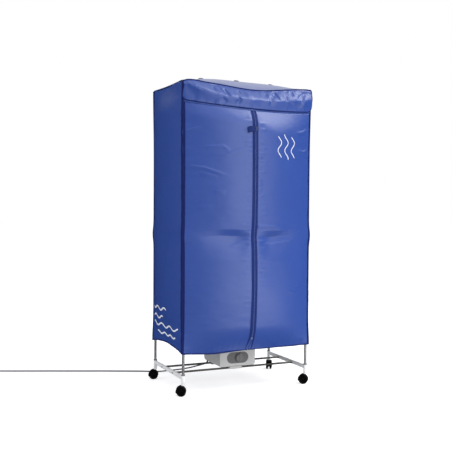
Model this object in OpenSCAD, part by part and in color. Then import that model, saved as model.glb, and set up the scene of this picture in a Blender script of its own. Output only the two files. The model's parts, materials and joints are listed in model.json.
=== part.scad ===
// Portable drying cabinet: a tube frame on castors, a warm-air unit on two base
// rails, and a zipped fabric cover that the blown air swells.
// The front faces -Y, +X is to the right of someone facing it, and the origin is
// on the floor under the middle of the frame.

/* [Frame] */
// Distance between the leg centres, left to right
leg_span_x = 672; // [580:1:760]
// Distance between the leg centres, front to back
leg_span_y = 402; // [380:1:460]
// Outer radius of the poles
pole_r = 6.5; // [5.5:0.1:7]
// Wall of the poles and rails
pole_wall = 1.2; // [0.8:0.1:2]
// Height of the joint between the lower and the upper poles
joint_z = 765; // [600:5:900]
// Length of the sleeves at that joint
sleeve_len = 64; // [40:2:90]
// Height of the top rails' centre lines
top_rail_z = 1478; // [1300:2:1600]
// Depth of a pole or rail in its corner piece
socket_depth = 28; // [20:1:36]
// Outer radius of the hanging rail
hanging_rail_r = 8; // [6:0.5:10]

/* [Base] */
// Height of the side bars' centre lines
side_bar_z = 88; // [86:1:110]
// Height of a side bar's section
side_bar_h = 21; // [18:1:24]
// Thickness of a side bar's section
side_bar_t = 14; // [11:0.5:17]
// Outer radius of the leg sleeves
leg_r = 9; // [8.5:0.5:12]
// Depth of a pole in its leg sleeve
foot_depth = 17; // [12:1:20]
// Radius of the long base rails
base_rail_r = 5; // [4:0.5:6.5]
// Distance between the long base rails
base_rail_gap = 150; // [140:2:160]
// Height of the dark collar round each pole
collar_h = 5; // [3:0.5:9]

/* [Castors] */
// Radius of a castor wheel
wheel_r = 24; // [20:0.5:26]
// Width of one wheel of a pair
wheel_w = 11; // [8:0.5:14]
// Thickness of the hood's web between the wheels
web_t = 8; // [6:0.5:10]
// Distance from the swivel axis to the axle
castor_trail = 9; // [6:0.5:12]
// Wall of the hood over the wheels
hood_wall = 1.8; // [1.2:0.1:2.5]
// Radius of the axle
axle_r = 3; // [2:0.25:4]
// Radius of the castor's stem
stem_r = 5; // [4:0.25:6]
// Length of the castor's stem
stem_len = 20; // [15:1:24]

/* [Warm-air unit] */
// Width of the unit
unit_w = 196; // [180:2:230]
// Depth of the unit
unit_d = 208; // [200:2:230]
// Height of the unit
unit_h = 150; // [140:2:190]
// Wall of the unit's housings
unit_wall = 2.5; // [2:0.1:3.5]
// Height of the lower housing
tub_h = 93; // [88:1:110]
// Radius of the lower rear edge
rear_edge_r = 30; // [20:1:36]
// Radius of the fan duct
duct_r = 53; // [46:1:56]
// Radius of the outlet in the top
outlet_r = 64; // [58:1:70]
// Width of the control panel
panel_w = 120; // [100:1:140]
// Height of the control panel
panel_h = 56; // [50:1:64]
// Radius of the timer knob
knob_r = 22; // [16:0.5:25]
// Height of the timer knob
knob_h = 14; // [10:0.5:20]
// Number of fan blades
blade_count = 7; // [5:1:9]

/* [Cover] */
// Distance of the cover's seams outside the leg centres
seam_out = 11.5; // [11:0.5:16]
// Thickness of the cloth
cloth_t = 2; // [1.5:0.1:3]
// Radius of the piping along the seams
piping_r = 3; // [2:0.25:4]
// Height of the hem at the corners
hem_z = 204; // [180:2:240]
// Rise of the side hems in the middle
hem_arch = 26; // [0:1:40]
// Height of the cover's top edge above the top rails' centre lines
top_edge_rise = 28; // [26:1:40]
// Sag of the front and rear top edges
top_sag = 25; // [0:1:26]
// Swell of the front and back
front_swell = 74; // [50:1:90]
// Swell of the sides
side_swell = 26; // [10:1:40]
// Swell of the top
top_swell = 66; // [30:1:80]

/* [Front opening] */
// Drop of the flap over the zip
flap_drop = 106; // [90:1:112]
// Distance of the doors' top edges below the flap's hem
door_drop = 8; // [5:1:20]
// Puff of the flap
flap_puff = 26; // [10:1:36]
// Width of the zip over both tapes
zip_w = 27; // [22:1:34]
// Height of the zip's slider above the floor at rest
slider_z = 1285; // [1180:5:1300]

/* [Mains lead] */
// Diameter of the lead
lead_d = 7; // [6:0.25:8]
// Turns of the stored coil
coil_turns = 2; // [1.5:0.5:4]
// Radius of the coil's outer turn
coil_r = 42; // [38:1:50]

/* [Hidden] */
$fn = 48;

// Clearances: a seated piece, a shaft or tube in its bore, and a cut's overshoot
seat_gap = 0.3;
fit_gap = 0.05;
over = 1;

lx = leg_span_x / 2;
ly = leg_span_y / 2;
corners = [[-lx, -ly], [lx, -ly], [-lx, ly], [lx, ly]];

// Castor heights follow the wheel, and the legs stand on the hoods' collars
hood_gap = 1;
hood_r = wheel_r + hood_gap + hood_wall;
castor_top = wheel_r + hood_r + 0.2;
leg_bottom = castor_top + seat_gap;
leg_top = side_bar_z + side_bar_h / 2;
pole_foot = leg_top - foot_depth;
// Rest headings of the castors, as the photographed one has rolled
castor_headings = [155, 140, 155, 246];

// Cover: the seam lines run through the middle of the cloth
seam_x = lx + seam_out;
seam_y = ly + seam_out;
top_edge = top_rail_z + top_edge_rise;
edge_gap = piping_r + seat_gap;
sleeve_r = seam_out - cloth_t / 2 - seat_gap;

// Warm-air unit: it hangs on the base rails, its floor just above them
rail_y = base_rail_gap / 2;
unit_floor = side_bar_z + base_rail_r + 4;
unit_top = unit_floor + unit_h;
unit_front = -unit_d / 2 + 4;
unit_rear = unit_front + unit_d;
split_z = unit_floor + tub_h;
fan_y = unit_rear - 88;
panel_z = unit_floor + 45;
knob_x = 8;
face_edge_r = 14;
side_edge_r = 8;
arc_y = unit_rear - rear_edge_r;
arc_z = unit_floor + rear_edge_r;

// ---------- shared shapes ----------

module pipe(r, wall, len)
    difference() {
        cylinder(r = r, h = len);
        translate([0, 0, -over]) cylinder(r = r - wall, h = len + 2 * over);
    }

module along_x() rotate([0, 90, 0]) children();

module along_y() rotate([-90, 0, 0]) children();

// An upright slot outline: a rectangle with a half circle on both ends
module upright_slot(w, h) {
    square([w, h - w], center = true);
    for (s = [-1, 1]) translate([0, s * (h - w) / 2]) circle(r = w / 2);
}

module corner_waste(r)
    difference() {
        translate([-over, -over]) square(r + over);
        translate([r, r]) circle(r = r);
    }

// A rectangle from the origin with its own radius at each corner
module soft_rect(w, h, low_left, low_right, high_right, high_left)
    difference() {
        square([w, h]);
        corner_waste(low_left);
        translate([w, 0]) mirror([1, 0]) corner_waste(low_right);
        translate([w, h]) mirror([1, 0]) mirror([0, 1]) corner_waste(high_right);
        translate([0, h]) mirror([0, 1]) corner_waste(high_left);
    }

function ramp(t) = let (u = min(1, max(0, t))) u * u * (3 - 2 * u);
function mix(a, b, t) = a + (b - a) * t;
// Even steps bunched towards both ends
function bunched(i, n) = (1 - cos(180 * i / n)) / 2;

// ---------- cloth sheets ----------

// A closed sheet from two grids of points with the same rows and columns.
// The first grid is the face that looks out when rows run up and columns to the right.
module sheet(front, back) {
    rows = len(front);
    cols = len(front[0]);
    count = rows * cols;
    points = concat([for (row = front) each row], [for (row = back) each row]);
    function at(i, j) = i * cols + j;
    faces = concat(
        [for (i = [0:rows - 2], j = [0:cols - 2]) each
            [[at(i, j), at(i + 1, j), at(i + 1, j + 1)],
             [at(i, j), at(i + 1, j + 1), at(i, j + 1)],
             [count + at(i, j), count + at(i + 1, j + 1), count + at(i + 1, j)],
             [count + at(i, j), count + at(i, j + 1), count + at(i + 1, j + 1)]]],
        [for (j = [0:cols - 2]) each
            [[at(0, j), at(0, j + 1), count + at(0, j + 1)],
             [at(0, j), count + at(0, j + 1), count + at(0, j)],
             [at(rows - 1, j), count + at(rows - 1, j + 1), at(rows - 1, j + 1)],
             [at(rows - 1, j), count + at(rows - 1, j), count + at(rows - 1, j + 1)]]],
        [for (i = [0:rows - 2]) each
            [[at(i, 0), count + at(i + 1, 0), at(i + 1, 0)],
             [at(i, 0), count + at(i, 0), count + at(i + 1, 0)],
             [at(i, cols - 1), at(i + 1, cols - 1), count + at(i + 1, cols - 1)],
             [at(i, cols - 1), count + at(i + 1, cols - 1), count + at(i, cols - 1)]]]);
    polyhedron(points = points, faces = faces, convexity = 6);
}

// Height of the top seam: it sags between the corner pieces
sag_middle = 35;
sag_reach = 200 / 347.5;
function front_seam_z(x) = top_edge - top_sag * exp(-pow((x - sag_middle) / (sag_reach * seam_x), 2));
function rear_seam_z(x) = top_edge - top_sag * exp(-pow(x / (sag_reach * seam_x), 2));

// How far the front or back stands out of the seam plane at x and z
swell_foot = 250;
swell_head = 150;
waist_dip = 6;
waist_reach = 36;
function across(x) = max(0, 1 - pow(abs(x) / seam_x, 2));
function waist(x, z) = waist_dip * ramp(abs(x) / 120) * across(x)
    * exp(-pow((z - joint_z) / waist_reach, 2));
function face_swell(x, z, seam_z) = front_swell * across(x) * ramp((z - hem_z) / swell_foot)
    * ramp((seam_z - z) / swell_head) - waist(x, z);
function front_swell_at(x, z) = face_swell(x, z, front_seam_z(x));

// Side hems rise in the middle
function side_hem_z(y) = hem_z + hem_arch * (1 - pow(y / seam_y, 2));
function side_swell_at(y, z) = side_swell * (1 - pow(y / seam_y, 2))
    * ramp((z - side_hem_z(y)) / swell_foot) * ramp((top_edge - z) / swell_head);

// Mid-surface of the top
function top_z(x, y) = mix(front_seam_z(x), rear_seam_z(x), (y / seam_y + 1) / 2)
    + top_swell * across(x) * pow(max(0, 1 - pow(y / seam_y, 2)), 0.8);

// The flap's hem hangs lower in the middle, and the doors end just below it
flap_tilt = 11;
flap_dip = 17;
function flap_low(x) = top_edge - flap_drop - flap_tilt * x / seam_x - flap_dip * across(x);
function door_top(x) = flap_low(x) - door_drop;

// The front from x0 to x1, between the heights that low and high give at each x
module front_sheet(x0, x1, low, high, rows, cols) {
    function grid(d) = [for (i = [0:rows]) [for (j = [0:cols])
        let (x = mix(x0, x1, j / cols),
             z = mix(low(x), high(x), bunched(i, rows)))
        [x, -(seam_y + front_swell_at(x, z) + d), z]]];
    sheet(grid(cloth_t / 2), grid(-cloth_t / 2));
}

module cover_side(s, rows = 14, cols = 8) {
    reach = seam_y - edge_gap;
    function grid(d) = [for (i = [0:rows]) [for (j = [0:cols])
        let (y = mix(-reach, reach, j / cols),
             z0 = side_hem_z(y),
             z = mix(z0, top_edge - edge_gap, bunched(i, rows)))
        [-s * (seam_x + side_swell_at(y, z) + d), -s * y, z]]];
    color("mediumblue") sheet(grid(cloth_t / 2), grid(-cloth_t / 2));
}

module cover_back(rows = 16, cols = 14) {
    reach = seam_x - edge_gap;
    function grid(d) = [for (i = [0:rows]) [for (j = [0:cols])
        let (x = mix(reach, -reach, j / cols),
             z = mix(hem_z, rear_seam_z(x) - edge_gap, bunched(i, rows)))
        [x, seam_y + face_swell(x, z, rear_seam_z(x)) + d, z]]];
    color("mediumblue") sheet(grid(cloth_t / 2), grid(-cloth_t / 2));
}

module cover_top(rows = 10, cols = 14) {
    reach_x = seam_x - edge_gap;
    reach_y = seam_y - edge_gap;
    function grid(d) = [for (i = [0:rows]) [for (j = [0:cols])
        let (x = mix(-reach_x, reach_x, bunched(j, cols)),
             y = mix(-reach_y, reach_y, bunched(i, rows)))
        [x, y, top_z(x, y) + d]]];
    color("lightsteelblue") sheet(grid(cloth_t / 2), grid(-cloth_t / 2));
}

module cover_header()
    color("mediumblue")
        front_sheet(-seam_x + edge_gap, seam_x - edge_gap,
                    function(x) door_top(x) + seat_gap,
                    function(x) front_seam_z(x) - edge_gap, 5, 14);

// A round tube through a list of points, its rings square to the run
function unit(v) = v / norm(v);
function run_at(path, i) = unit(path[min(i + 1, len(path) - 1)] - path[max(i - 1, 0)]);
function ring_at(path, i, r, sides) =
    let (t = run_at(path, i),
         side = unit(cross(abs(t.z) > 0.9 ? [0, 1, 0] : [0, 0, 1], t)),
         up = cross(t, side))
    [for (k = [0:sides - 1]) let (a = 360 * (k + 0.5) / sides)
        path[i] + r * (cos(a) * side + sin(a) * up)];

module swept_tube(path, r, sides) {
    last = len(path) - 1;
    points = [for (i = [0:last]) each ring_at(path, i, r, sides)];
    function next(k) = (k + 1) % sides;
    faces = concat(
        [for (i = [0:last - 1], k = [0:sides - 1]) each
            [[i * sides + k, (i + 1) * sides + k, (i + 1) * sides + next(k)],
             [i * sides + k, (i + 1) * sides + next(k), i * sides + next(k)]]],
        [[for (k = [0:sides - 1]) k]],
        [[for (k = [sides - 1:-1:0]) last * sides + k]]);
    polyhedron(points = points, faces = faces, convexity = 8);
}

module cover_piping() {
    steps = 20;
    reach = seam_x - edge_gap;
    color("midnightblue") {
        for (sx = [-1, 1], sy = [-1, 1])
            translate([sx * seam_x, sy * seam_y, hem_z])
                cylinder(r = piping_r, h = top_edge + piping_r - hem_z, $fn = 24);
        for (sx = [-1, 1])
            translate([sx * seam_x, -seam_y + edge_gap, top_edge]) along_y()
                cylinder(r = piping_r, h = 2 * (seam_y - edge_gap), $fn = 24);
        swept_tube([for (i = [0:steps]) let (x = mix(-reach, reach, i / steps))
            [x, -seam_y, front_seam_z(x)]], piping_r, 8);
        swept_tube([for (i = [0:steps]) let (x = mix(-reach, reach, i / steps))
            [x, seam_y, rear_seam_z(x)]], piping_r, 8);
    }
}

// Three low caps over the steam vents, in a row on the crown
vent_pitch = 195;
vent_y = -60;
vent_r = 15;
module vent_caps() {
    probe = 5;
    color("dimgray") for (i = [-1:1]) {
        x = i * vent_pitch;
        slope_x = (top_z(x + probe, vent_y) - top_z(x - probe, vent_y)) / (2 * probe);
        slope_y = (top_z(x, vent_y + probe) - top_z(x, vent_y - probe)) / (2 * probe);
        tilt = atan(norm([slope_x, slope_y]));
        translate([x, vent_y, top_z(x, vent_y)])
            rotate([0, tilt, atan2(-slope_y, -slope_x)])
                translate([0, 0, cloth_t / 2 + seat_gap]) difference() {
                    union() {
                        cylinder(r = vent_r, h = 1.6);
                        cylinder(r1 = vent_r - 3, r2 = vent_r - 5, h = 4.6);
                    }
                    for (k = [-1:1]) translate([0, 5.5 * k, 5])
                        cube([12, 1.6, 3], center = true);
                }
    }
}

// ---------- front opening ----------

// The tapes meet in the middle. The coil and its backing belong to the left door,
// so the slider runs over one door's pieces and both doors can swing.
coil_half = 2.8;
slider_half = 5;
tape_t = 1;
coil_t = 2.2;
door_inner = 6;

door_rows = 16;
module door_panel(x0, x1, cols = 8)
    color("mediumblue")
        front_sheet(x0, x1, function(x) hem_z, function(x) door_top(x), door_rows, cols);

module door_left() door_panel(-seam_x + edge_gap, -door_inner);

module door_right() door_panel(door_inner, seam_x - edge_gap);

// A strip that follows the doors' middle line, from x0 to x1, standing off the
// cloth's mid-surface from near to far, between the heights z0 and z1
module zip_strip(x0, x1, near, far, z0, z1) {
    function line(d) = [for (i = [0:door_rows])
        let (z = mix(hem_z, door_top(0), bunched(i, door_rows)))
        [-(seam_y + front_swell_at(0, z) + d), z]];
    outline = concat(line(near), [for (i = [door_rows:-1:0]) line(far)[i]]);
    translate([x0, 0, 0]) rotate([90, 0, 90]) linear_extrude(x1 - x0) intersection() {
        polygon(outline);
        translate([-2 * seam_y, z0]) square([2 * seam_y, z1 - z0]);
    }
}

tape_near = cloth_t / 2 + seat_gap;
tape_far = tape_near + tape_t;
coil_far = tape_far + coil_t;
zip_low = hem_z + 6;
zip_high = door_top(0) - 2;

module zip_tape_left()
    color("midnightblue")
        zip_strip(-zip_w / 2, slider_half, tape_near, tape_far, zip_low, zip_high);

module zip_tape_right()
    color("midnightblue")
        zip_strip(slider_half + seat_gap, zip_w / 2, tape_near, tape_far, zip_low, zip_high);

// Two rows of the zip's coil, closed below the slider
module zip_coil()
    color("black") {
        for (s = [-1, 1]) {
            a = s < 0 ? -coil_half : 0.2;
            zip_strip(a, a + coil_half - 0.2, tape_far + fit_gap, coil_far, zip_low + 12, zip_high);
        }
        // the box at the bottom, where the pin goes in
        zip_strip(-slider_half + 0.4, slider_half - 0.4, tape_far + fit_gap, coil_far + 1,
                  zip_low, zip_low + 11);
    }

slider_h = 16;
module zip_slider() {
    front = seam_y + front_swell + coil_far + seat_gap;
    back = seam_y + front_swell + tape_far + seat_gap;
    inner = coil_half + seat_gap;
    color("slategray") translate([0, 0, slider_z]) {
        translate([-slider_half, -front - 1.6, -slider_h / 2])
            cube([2 * slider_half, 1.6, slider_h]);
        for (s = [0, 1]) mirror([s, 0, 0])
            translate([inner, -front - 1.6, -slider_h / 2])
                cube([slider_half - inner, 1.6 + front - back, slider_h]);
        // the bridge that holds the pull
        difference() {
            translate([-1.2, -front - 5, -5]) cube([2.4, 4, 12]);
            translate([0, -front - 3, 0]) along_x() cylinder(r = 1.2, h = 6, center = true);
        }
    }
}

// The cloth pull hangs in the bridge and lies out to the left
pull_len = 38;
pull_h = 26;
module zip_pull() {
    front = seam_y + front_swell + coil_far + seat_gap;
    color("midnightblue") translate([0, -front - 3, slider_z]) {
        along_x() cylinder(r = 0.9, h = 5, center = true, $fn = 24);
        translate([-2.5, 0, 0]) rotate([90, 0, 180]) linear_extrude(1.4, center = true)
            translate([0, -pull_h / 2])
                soft_rect(pull_len, pull_h, 4, 9, 9, 4);
    }
}

// The flap hangs over the top of the zip. It puffs out and turns back in at its hem.
flap_over = 5;
flap_rows = 7;
flap_cols = 18;
flap_stand = piping_r + seat_gap + cloth_t / 2;
function flap_grid(d) = [for (i = [0:flap_rows]) [for (j = [0:flap_cols])
    let (x = mix(-seam_x - flap_over, seam_x + flap_over, j / flap_cols),
         s = 1 - i / flap_rows,
         z = mix(front_seam_z(x) + 1, flap_low(x), s),
         puff = flap_puff * (0.35 + 0.65 * pow(across(x), 0.4)) * sin(180 * pow(s, 0.8)))
    [x, -(seam_y + front_swell_at(x, z) + flap_stand + puff + d), z]]];
module front_flap()
    color("royalblue") sheet(flap_grid(cloth_t / 2), flap_grid(-cloth_t / 2));

// ---------- frame ----------

screw_r = 2;
screw_reach = 18;

module base_side(s)
    color("whitesmoke") translate([s * lx, 0, 0]) difference() {
        union() {
            for (sy = [-1, 1]) translate([0, sy * ly, leg_bottom])
                cylinder(r = leg_r, h = leg_top - leg_bottom);
            translate([0, -ly, side_bar_z]) rotate([-90, 0, 0])
                linear_extrude(2 * ly) upright_slot(side_bar_t, side_bar_h);
        }
        for (sy = [-1, 1]) translate([0, sy * ly, 0]) {
            translate([0, 0, leg_bottom - over])
                cylinder(r = stem_r + fit_gap, h = stem_len + over + 2 * seat_gap);
            translate([0, 0, pole_foot - seat_gap])
                cylinder(r = pole_r + fit_gap, h = foot_depth + seat_gap + over);
        }
        for (sy = [-1, 1]) translate([0, sy * rail_y, side_bar_z]) along_x()
            cylinder(r = screw_r + 0.3, h = side_bar_t + 2 * over, center = true);
    }

base_rail_end = lx - side_bar_t / 2;
module base_rail(s)
    color("darkslategray") translate([-base_rail_end, s * rail_y, side_bar_z]) along_x()
        difference() {
            cylinder(r = base_rail_r, h = 2 * base_rail_end);
            for (z = [-over, 2 * base_rail_end - screw_reach])
                translate([0, 0, z]) cylinder(r = screw_r + fit_gap, h = screw_reach + over);
        }

module rail_screws()
    color("silver") for (sx = [0, 1], sy = [-1, 1])
        mirror([sx, 0, 0]) translate([lx + side_bar_t / 2, sy * rail_y, side_bar_z])
            along_x() difference() {
                union() {
                    cylinder(r1 = 4.2, r2 = 3.2, h = 2.4);
                    translate([0, 0, -side_bar_t - screw_reach + 2])
                        cylinder(r = screw_r, h = side_bar_t + screw_reach - 2);
                }
                for (a = [0, 90]) rotate([0, 0, a]) translate([0, 0, 2])
                    cube([4, 0.9, 1.6], center = true);
            }

module pole_collars()
    color("dimgray") for (c = corners) translate([c.x, c.y, leg_top])
        difference() {
            cylinder(r = leg_r + 0.5, h = collar_h);
            translate([0, 0, -over]) cylinder(r = pole_r + fit_gap, h = collar_h + 2 * over);
        }

module lower_poles()
    color("silver") for (c = corners) translate([c.x, c.y, pole_foot])
        pipe(pole_r, pole_wall, joint_z - pole_foot);

// Poles and rails stop short of each other inside a corner piece
socket_start = pole_r + pole_wall + 3;
upper_end = top_rail_z - socket_start;
module upper_poles()
    color("silver") for (c = corners) translate([c.x, c.y, joint_z + seat_gap])
        pipe(pole_r, pole_wall, upper_end - joint_z - seat_gap);

module pole_sleeves()
    color("gray") for (c = corners) translate([c.x, c.y, joint_z - sleeve_len / 2])
        difference() {
            union() {
                cylinder(r = sleeve_r - 0.8, h = sleeve_len);
                for (z = [0, sleeve_len / 2 - 3, sleeve_len - 6]) translate([0, 0, z])
                    cylinder(r = sleeve_r, h = 6);
            }
            translate([0, 0, -over]) cylinder(r = pole_r + fit_gap, h = sleeve_len + 2 * over);
        }

// The caps of the corner pieces carry the cover's top
cap_top = min([for (dx = [0, 6], dy = [0, 6])
    min(top_z(lx + dx, ly + dy), top_z(lx + dx, -ly - dy),
        top_z(-lx - dx, -ly - dy))]) - cloth_t / 2 - seat_gap;
dome_z = cap_top - top_rail_z - sleeve_r;
socket_len = socket_start + socket_depth;
module top_corner(sx, sy)
    translate([sx * lx, sy * ly, top_rail_z]) mirror([sx > 0 ? 1 : 0, 0, 0])
        mirror([0, sy > 0 ? 1 : 0, 0]) difference() {
            union() {
                translate([0, 0, -socket_len]) rotate_extrude() {
                    square([sleeve_r, dome_z + socket_len]);
                    translate([0, dome_z + socket_len]) intersection() {
                        circle(r = sleeve_r);
                        square(sleeve_r);
                    }
                }
                along_x() cylinder(r = sleeve_r, h = socket_len);
                along_y() cylinder(r = sleeve_r, h = socket_len);
            }
            translate([0, 0, -socket_len - over])
                cylinder(r = pole_r + fit_gap, h = socket_depth + over);
            translate([socket_start, 0, 0]) along_x()
                cylinder(r = pole_r + fit_gap, h = socket_depth + over);
            translate([0, socket_start, 0]) along_y()
                cylinder(r = pole_r + fit_gap, h = socket_depth + over);
        }

module top_corners()
    color("dimgray") for (sx = [-1, 1], sy = [-1, 1]) top_corner(sx, sy);

rail_start = socket_start + seat_gap;
module top_bar(s)
    color("silver") translate([s * lx, -ly + rail_start, top_rail_z]) along_y()
        pipe(pole_r, pole_wall, 2 * (ly - rail_start));

module top_rail(s)
    color("silver") translate([-lx + rail_start, s * ly, top_rail_z]) along_x()
        pipe(pole_r, pole_wall, 2 * (lx - rail_start));

module hanging_rail()
    color("silver") translate([-lx + rail_start, 0, top_rail_z]) along_x()
        pipe(hanging_rail_r, pole_wall, 2 * (lx - rail_start));

module rail_brackets()
    color("dimgray") for (s = [0, 1]) mirror([s, 0, 0]) translate([-lx, 0, top_rail_z])
        difference() {
            union() {
                along_y() cylinder(r = sleeve_r, h = 26, center = true);
                along_x() cylinder(r = hanging_rail_r + 2.2, h = socket_len - 6);
            }
            along_y() cylinder(r = pole_r + fit_gap, h = 26 + 2 * over, center = true);
            translate([socket_start, 0, 0]) along_x()
                cylinder(r = hanging_rail_r + fit_gap, h = socket_depth);
        }

// ---------- castors ----------

// A castor in its own frame: the swivel axis is Z and the axle lies towards +X
module castor_place(i)
    translate([corners[i].x, corners[i].y, 0]) rotate([0, 0, castor_headings[i]])
        children();

pair_w = web_t + 2 * (wheel_w + hood_gap);
module castor_hood(i)
    color("black") castor_place(i) {
        difference() {
            union() {
                // fender over both wheels
                translate([castor_trail, 0, wheel_r]) along_y()
                    cylinder(r = hood_r, h = pair_w, center = true);
                cylinder(r = leg_r, h = castor_top);
            }
            translate([castor_trail, 0, wheel_r]) {
                for (s = [-1, 1]) translate([0, s * (web_t / 2 + pair_w / 2), 0]) along_y()
                    cylinder(r = wheel_r + hood_gap, h = pair_w, center = true);
                // open below the axle and behind
                rotate([0, 18, 0]) translate([-60, -60, -60]) cube([120, 120, 60]);
                rotate([0, 62, 0]) translate([-60, -60, -60]) cube([120, 120, 60]);
            }
        }
        translate([castor_trail, 0, wheel_r]) along_y()
            cylinder(r = axle_r + 4, h = web_t, center = true);
        translate([castor_trail, 0, wheel_r]) along_y()
            cylinder(r = axle_r, h = pair_w + 2, center = true);
        translate([0, 0, castor_top - over]) cylinder(r = stem_r, h = stem_len + over);
    }

module castor_wheels(i) {
    tread = 3;
    color("black") castor_place(i) translate([castor_trail, 0, wheel_r])
        for (s = [0, 1]) mirror([0, s, 0]) translate([0, web_t / 2 + hood_gap / 2, 0])
            along_y() difference() {
                rotate_extrude() difference() {
                    square([wheel_r, wheel_w]);
                    translate([wheel_r, 0]) mirror([1, 0]) corner_waste(tread);
                    translate([wheel_r, wheel_w]) mirror([1, 0]) mirror([0, 1])
                        corner_waste(tread);
                    // dished outer face
                    translate([axle_r + 4, wheel_w - 2]) square([wheel_r - axle_r - 9, 4]);
                }
                translate([0, 0, -over]) cylinder(r = axle_r + fit_gap, h = wheel_w + 2 * over);
            }
}

// ---------- warm-air unit ----------

// The housing's outside, or its inside when inset is the wall
module unit_form(inset) {
    w = unit_w - 2 * inset;
    d = unit_d - 2 * inset;
    h = unit_h - 2 * inset;
    intersection() {
        translate([-w / 2, unit_front + inset, unit_floor + inset])
            rotate([90, 0, 90]) linear_extrude(w)
                soft_rect(d, h, side_edge_r - inset, rear_edge_r - inset,
                          side_edge_r - inset, side_edge_r - inset);
        translate([-w / 2, unit_rear - inset, unit_floor + inset])
            rotate([90, 0, 0]) linear_extrude(d)
                soft_rect(w, h, face_edge_r - inset, face_edge_r - inset,
                          face_edge_r - inset, face_edge_r - inset);
    }
}

module panel_outline(grow)
    translate([0, panel_z]) rotate([0, 0, 90])
        upright_slot(panel_h + 2 * grow, panel_w + 2 * grow);

module on_front(y, t)
    translate([0, y + t, 0]) rotate([90, 0, 0]) linear_extrude(t) children();

post_in = unit_wall + 5;
post_r = 6;
posts = [for (sx = [-1, 1], y = [unit_front + post_in, unit_rear - post_in])
    [sx * (unit_w / 2 - post_in), y]];
screw_seat = split_z - 14;
panel_pocket = 3;
pocket_floor = 3.5;
boss_reach = 2;
lead_x = -75;

// The lead leaves the rounded rear edge at 45 degrees, downwards and back
module lead_place(d)
    translate([lead_x, arc_y, arc_z]) rotate([-135, 0, 0]) translate([0, 0, d]) children();

tab_x = -10;
tab_w = 65;
saddle_x = 62;
saddle_w = 18;
module heater_tub() {
    low_half = [unit_w + 2 * over, unit_d + 2 * over, tub_h + 20];
    color("white") difference() {
        union() {
            difference() {
                intersection() {
                    unit_form(0);
                    translate([-low_half.x / 2, unit_front - over, split_z - low_half.z])
                        cube(low_half);
                }
                unit_form(unit_wall);
            }
            intersection() {
                unit_form(0);
                union() {
                    for (p = posts) translate([p.x, p.y, unit_floor])
                        cylinder(r = post_r, h = tub_h);
                    on_front(unit_front, panel_pocket + pocket_floor) panel_outline(4);
                    lead_place(rear_edge_r - 8) cylinder(r = 9.5, h = 12);
                }
            }
            lead_place(rear_edge_r - 3) cylinder(r = 9.5, h = 3 + boss_reach);
            // front tab over the front rail, and saddles on the rear rail
            translate([tab_x - tab_w / 2, unit_front, unit_floor - 11])
                cube([tab_w, 44, 12]);
            for (s = [-1, 1]) translate([s * saddle_x - saddle_w / 2, rail_y - 9, unit_floor - 9])
                cube([saddle_w, 18, 10]);
        }
        on_front(unit_front - over, panel_pocket + over) panel_outline(seat_gap);
        translate([knob_x, unit_front, panel_z]) along_y()
            cylinder(r = 6, h = 30, center = true);
        translate([0, fan_y, unit_floor - over]) cylinder(r = duct_r, h = unit_wall + 2 * over);
        for (p = posts) translate([p.x, p.y, 0]) {
            cylinder(r = 4.2, h = screw_seat);
            cylinder(r = screw_r + 0.3, h = split_z + over);
        }
        lead_place(rear_edge_r - 14) cylinder(r = 5.05, h = 30);
        // the rails' way through the tab and the saddles
        for (s = [-1, 1]) translate([0, s * rail_y, side_bar_z]) {
            along_x() cylinder(r = base_rail_r + seat_gap, h = unit_w, center = true);
            translate([-unit_w / 2, -base_rail_r - seat_gap, -20])
                cube([unit_w, 2 * (base_rail_r + seat_gap), 20]);
        }
    }
}

module heater_lid() {
    color("white") difference() {
        union() {
            difference() {
                intersection() {
                    unit_form(0);
                    translate([-unit_w / 2 - over, unit_front - over, split_z + 0.1])
                        cube([unit_w + 2 * over, unit_d + 2 * over, unit_h]);
                }
                unit_form(unit_wall);
            }
            intersection() {
                unit_form(0);
                for (p = posts) translate([p.x, p.y, split_z + 0.1])
                    cylinder(r = post_r, h = 17);
            }
        }
        for (p = posts) translate([p.x, p.y, split_z])
            cylinder(r = screw_r + fit_gap, h = 15);
        translate([0, fan_y, unit_top - 10]) cylinder(r = outlet_r, h = 20);
    }
}

module heater_screws()
    color("silver") for (p = posts) translate([p.x, p.y, screw_seat])
        difference() {
            union() {
                translate([0, 0, -2.5]) cylinder(r = 3.8, h = 2.4);
                translate([0, 0, -1]) cylinder(r = screw_r, h = 28);
            }
            for (a = [0, 90]) rotate([0, 0, a]) translate([0, 0, -2.5])
                cube([4, 0.9, 1.6], center = true);
        }

// Clips that close the saddles round the rear rail from below
module rail_clips()
    color("gray") for (s = [-1, 1])
        translate([s * saddle_x, rail_y, side_bar_z]) difference() {
            translate([-saddle_w / 2, -8.8, -base_rail_r - 3])
                cube([saddle_w, 17.6, base_rail_r + 3 - 0.3]);
            along_x() cylinder(r = base_rail_r + seat_gap, h = saddle_w + 2 * over, center = true);
        }

module ring_grille(r, t, pitch, bar, spokes)
    linear_extrude(t) {
        difference() {
            circle(r = r);
            circle(r = r - 2 * bar);
        }
        for (q = [pitch:pitch:r - 2 * bar]) difference() {
            circle(r = q + bar / 2);
            circle(r = q - bar / 2);
        }
        circle(r = pitch / 2);
        for (k = [0:spokes - 1]) rotate([0, 0, 360 * k / spokes])
            translate([0, -bar / 2]) square([r - bar, bar]);
    }

module inlet_grille()
    color("dimgray") translate([0, fan_y, unit_floor + unit_wall + seat_gap])
        ring_grille(duct_r + 2.5, 2, 8, 1.6, 6);

module outlet_grille()
    color("whitesmoke") translate([0, fan_y, unit_top]) {
        translate([0, 0, -4]) ring_grille(outlet_r - seat_gap, 4.3, 8, 1.8, 8);
        translate([0, 0, seat_gap]) difference() {
            cylinder(r = outlet_r + 5, h = 2);
            translate([0, 0, -over]) cylinder(r = outlet_r - 3, h = 2 + 2 * over);
        }
    }

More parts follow.
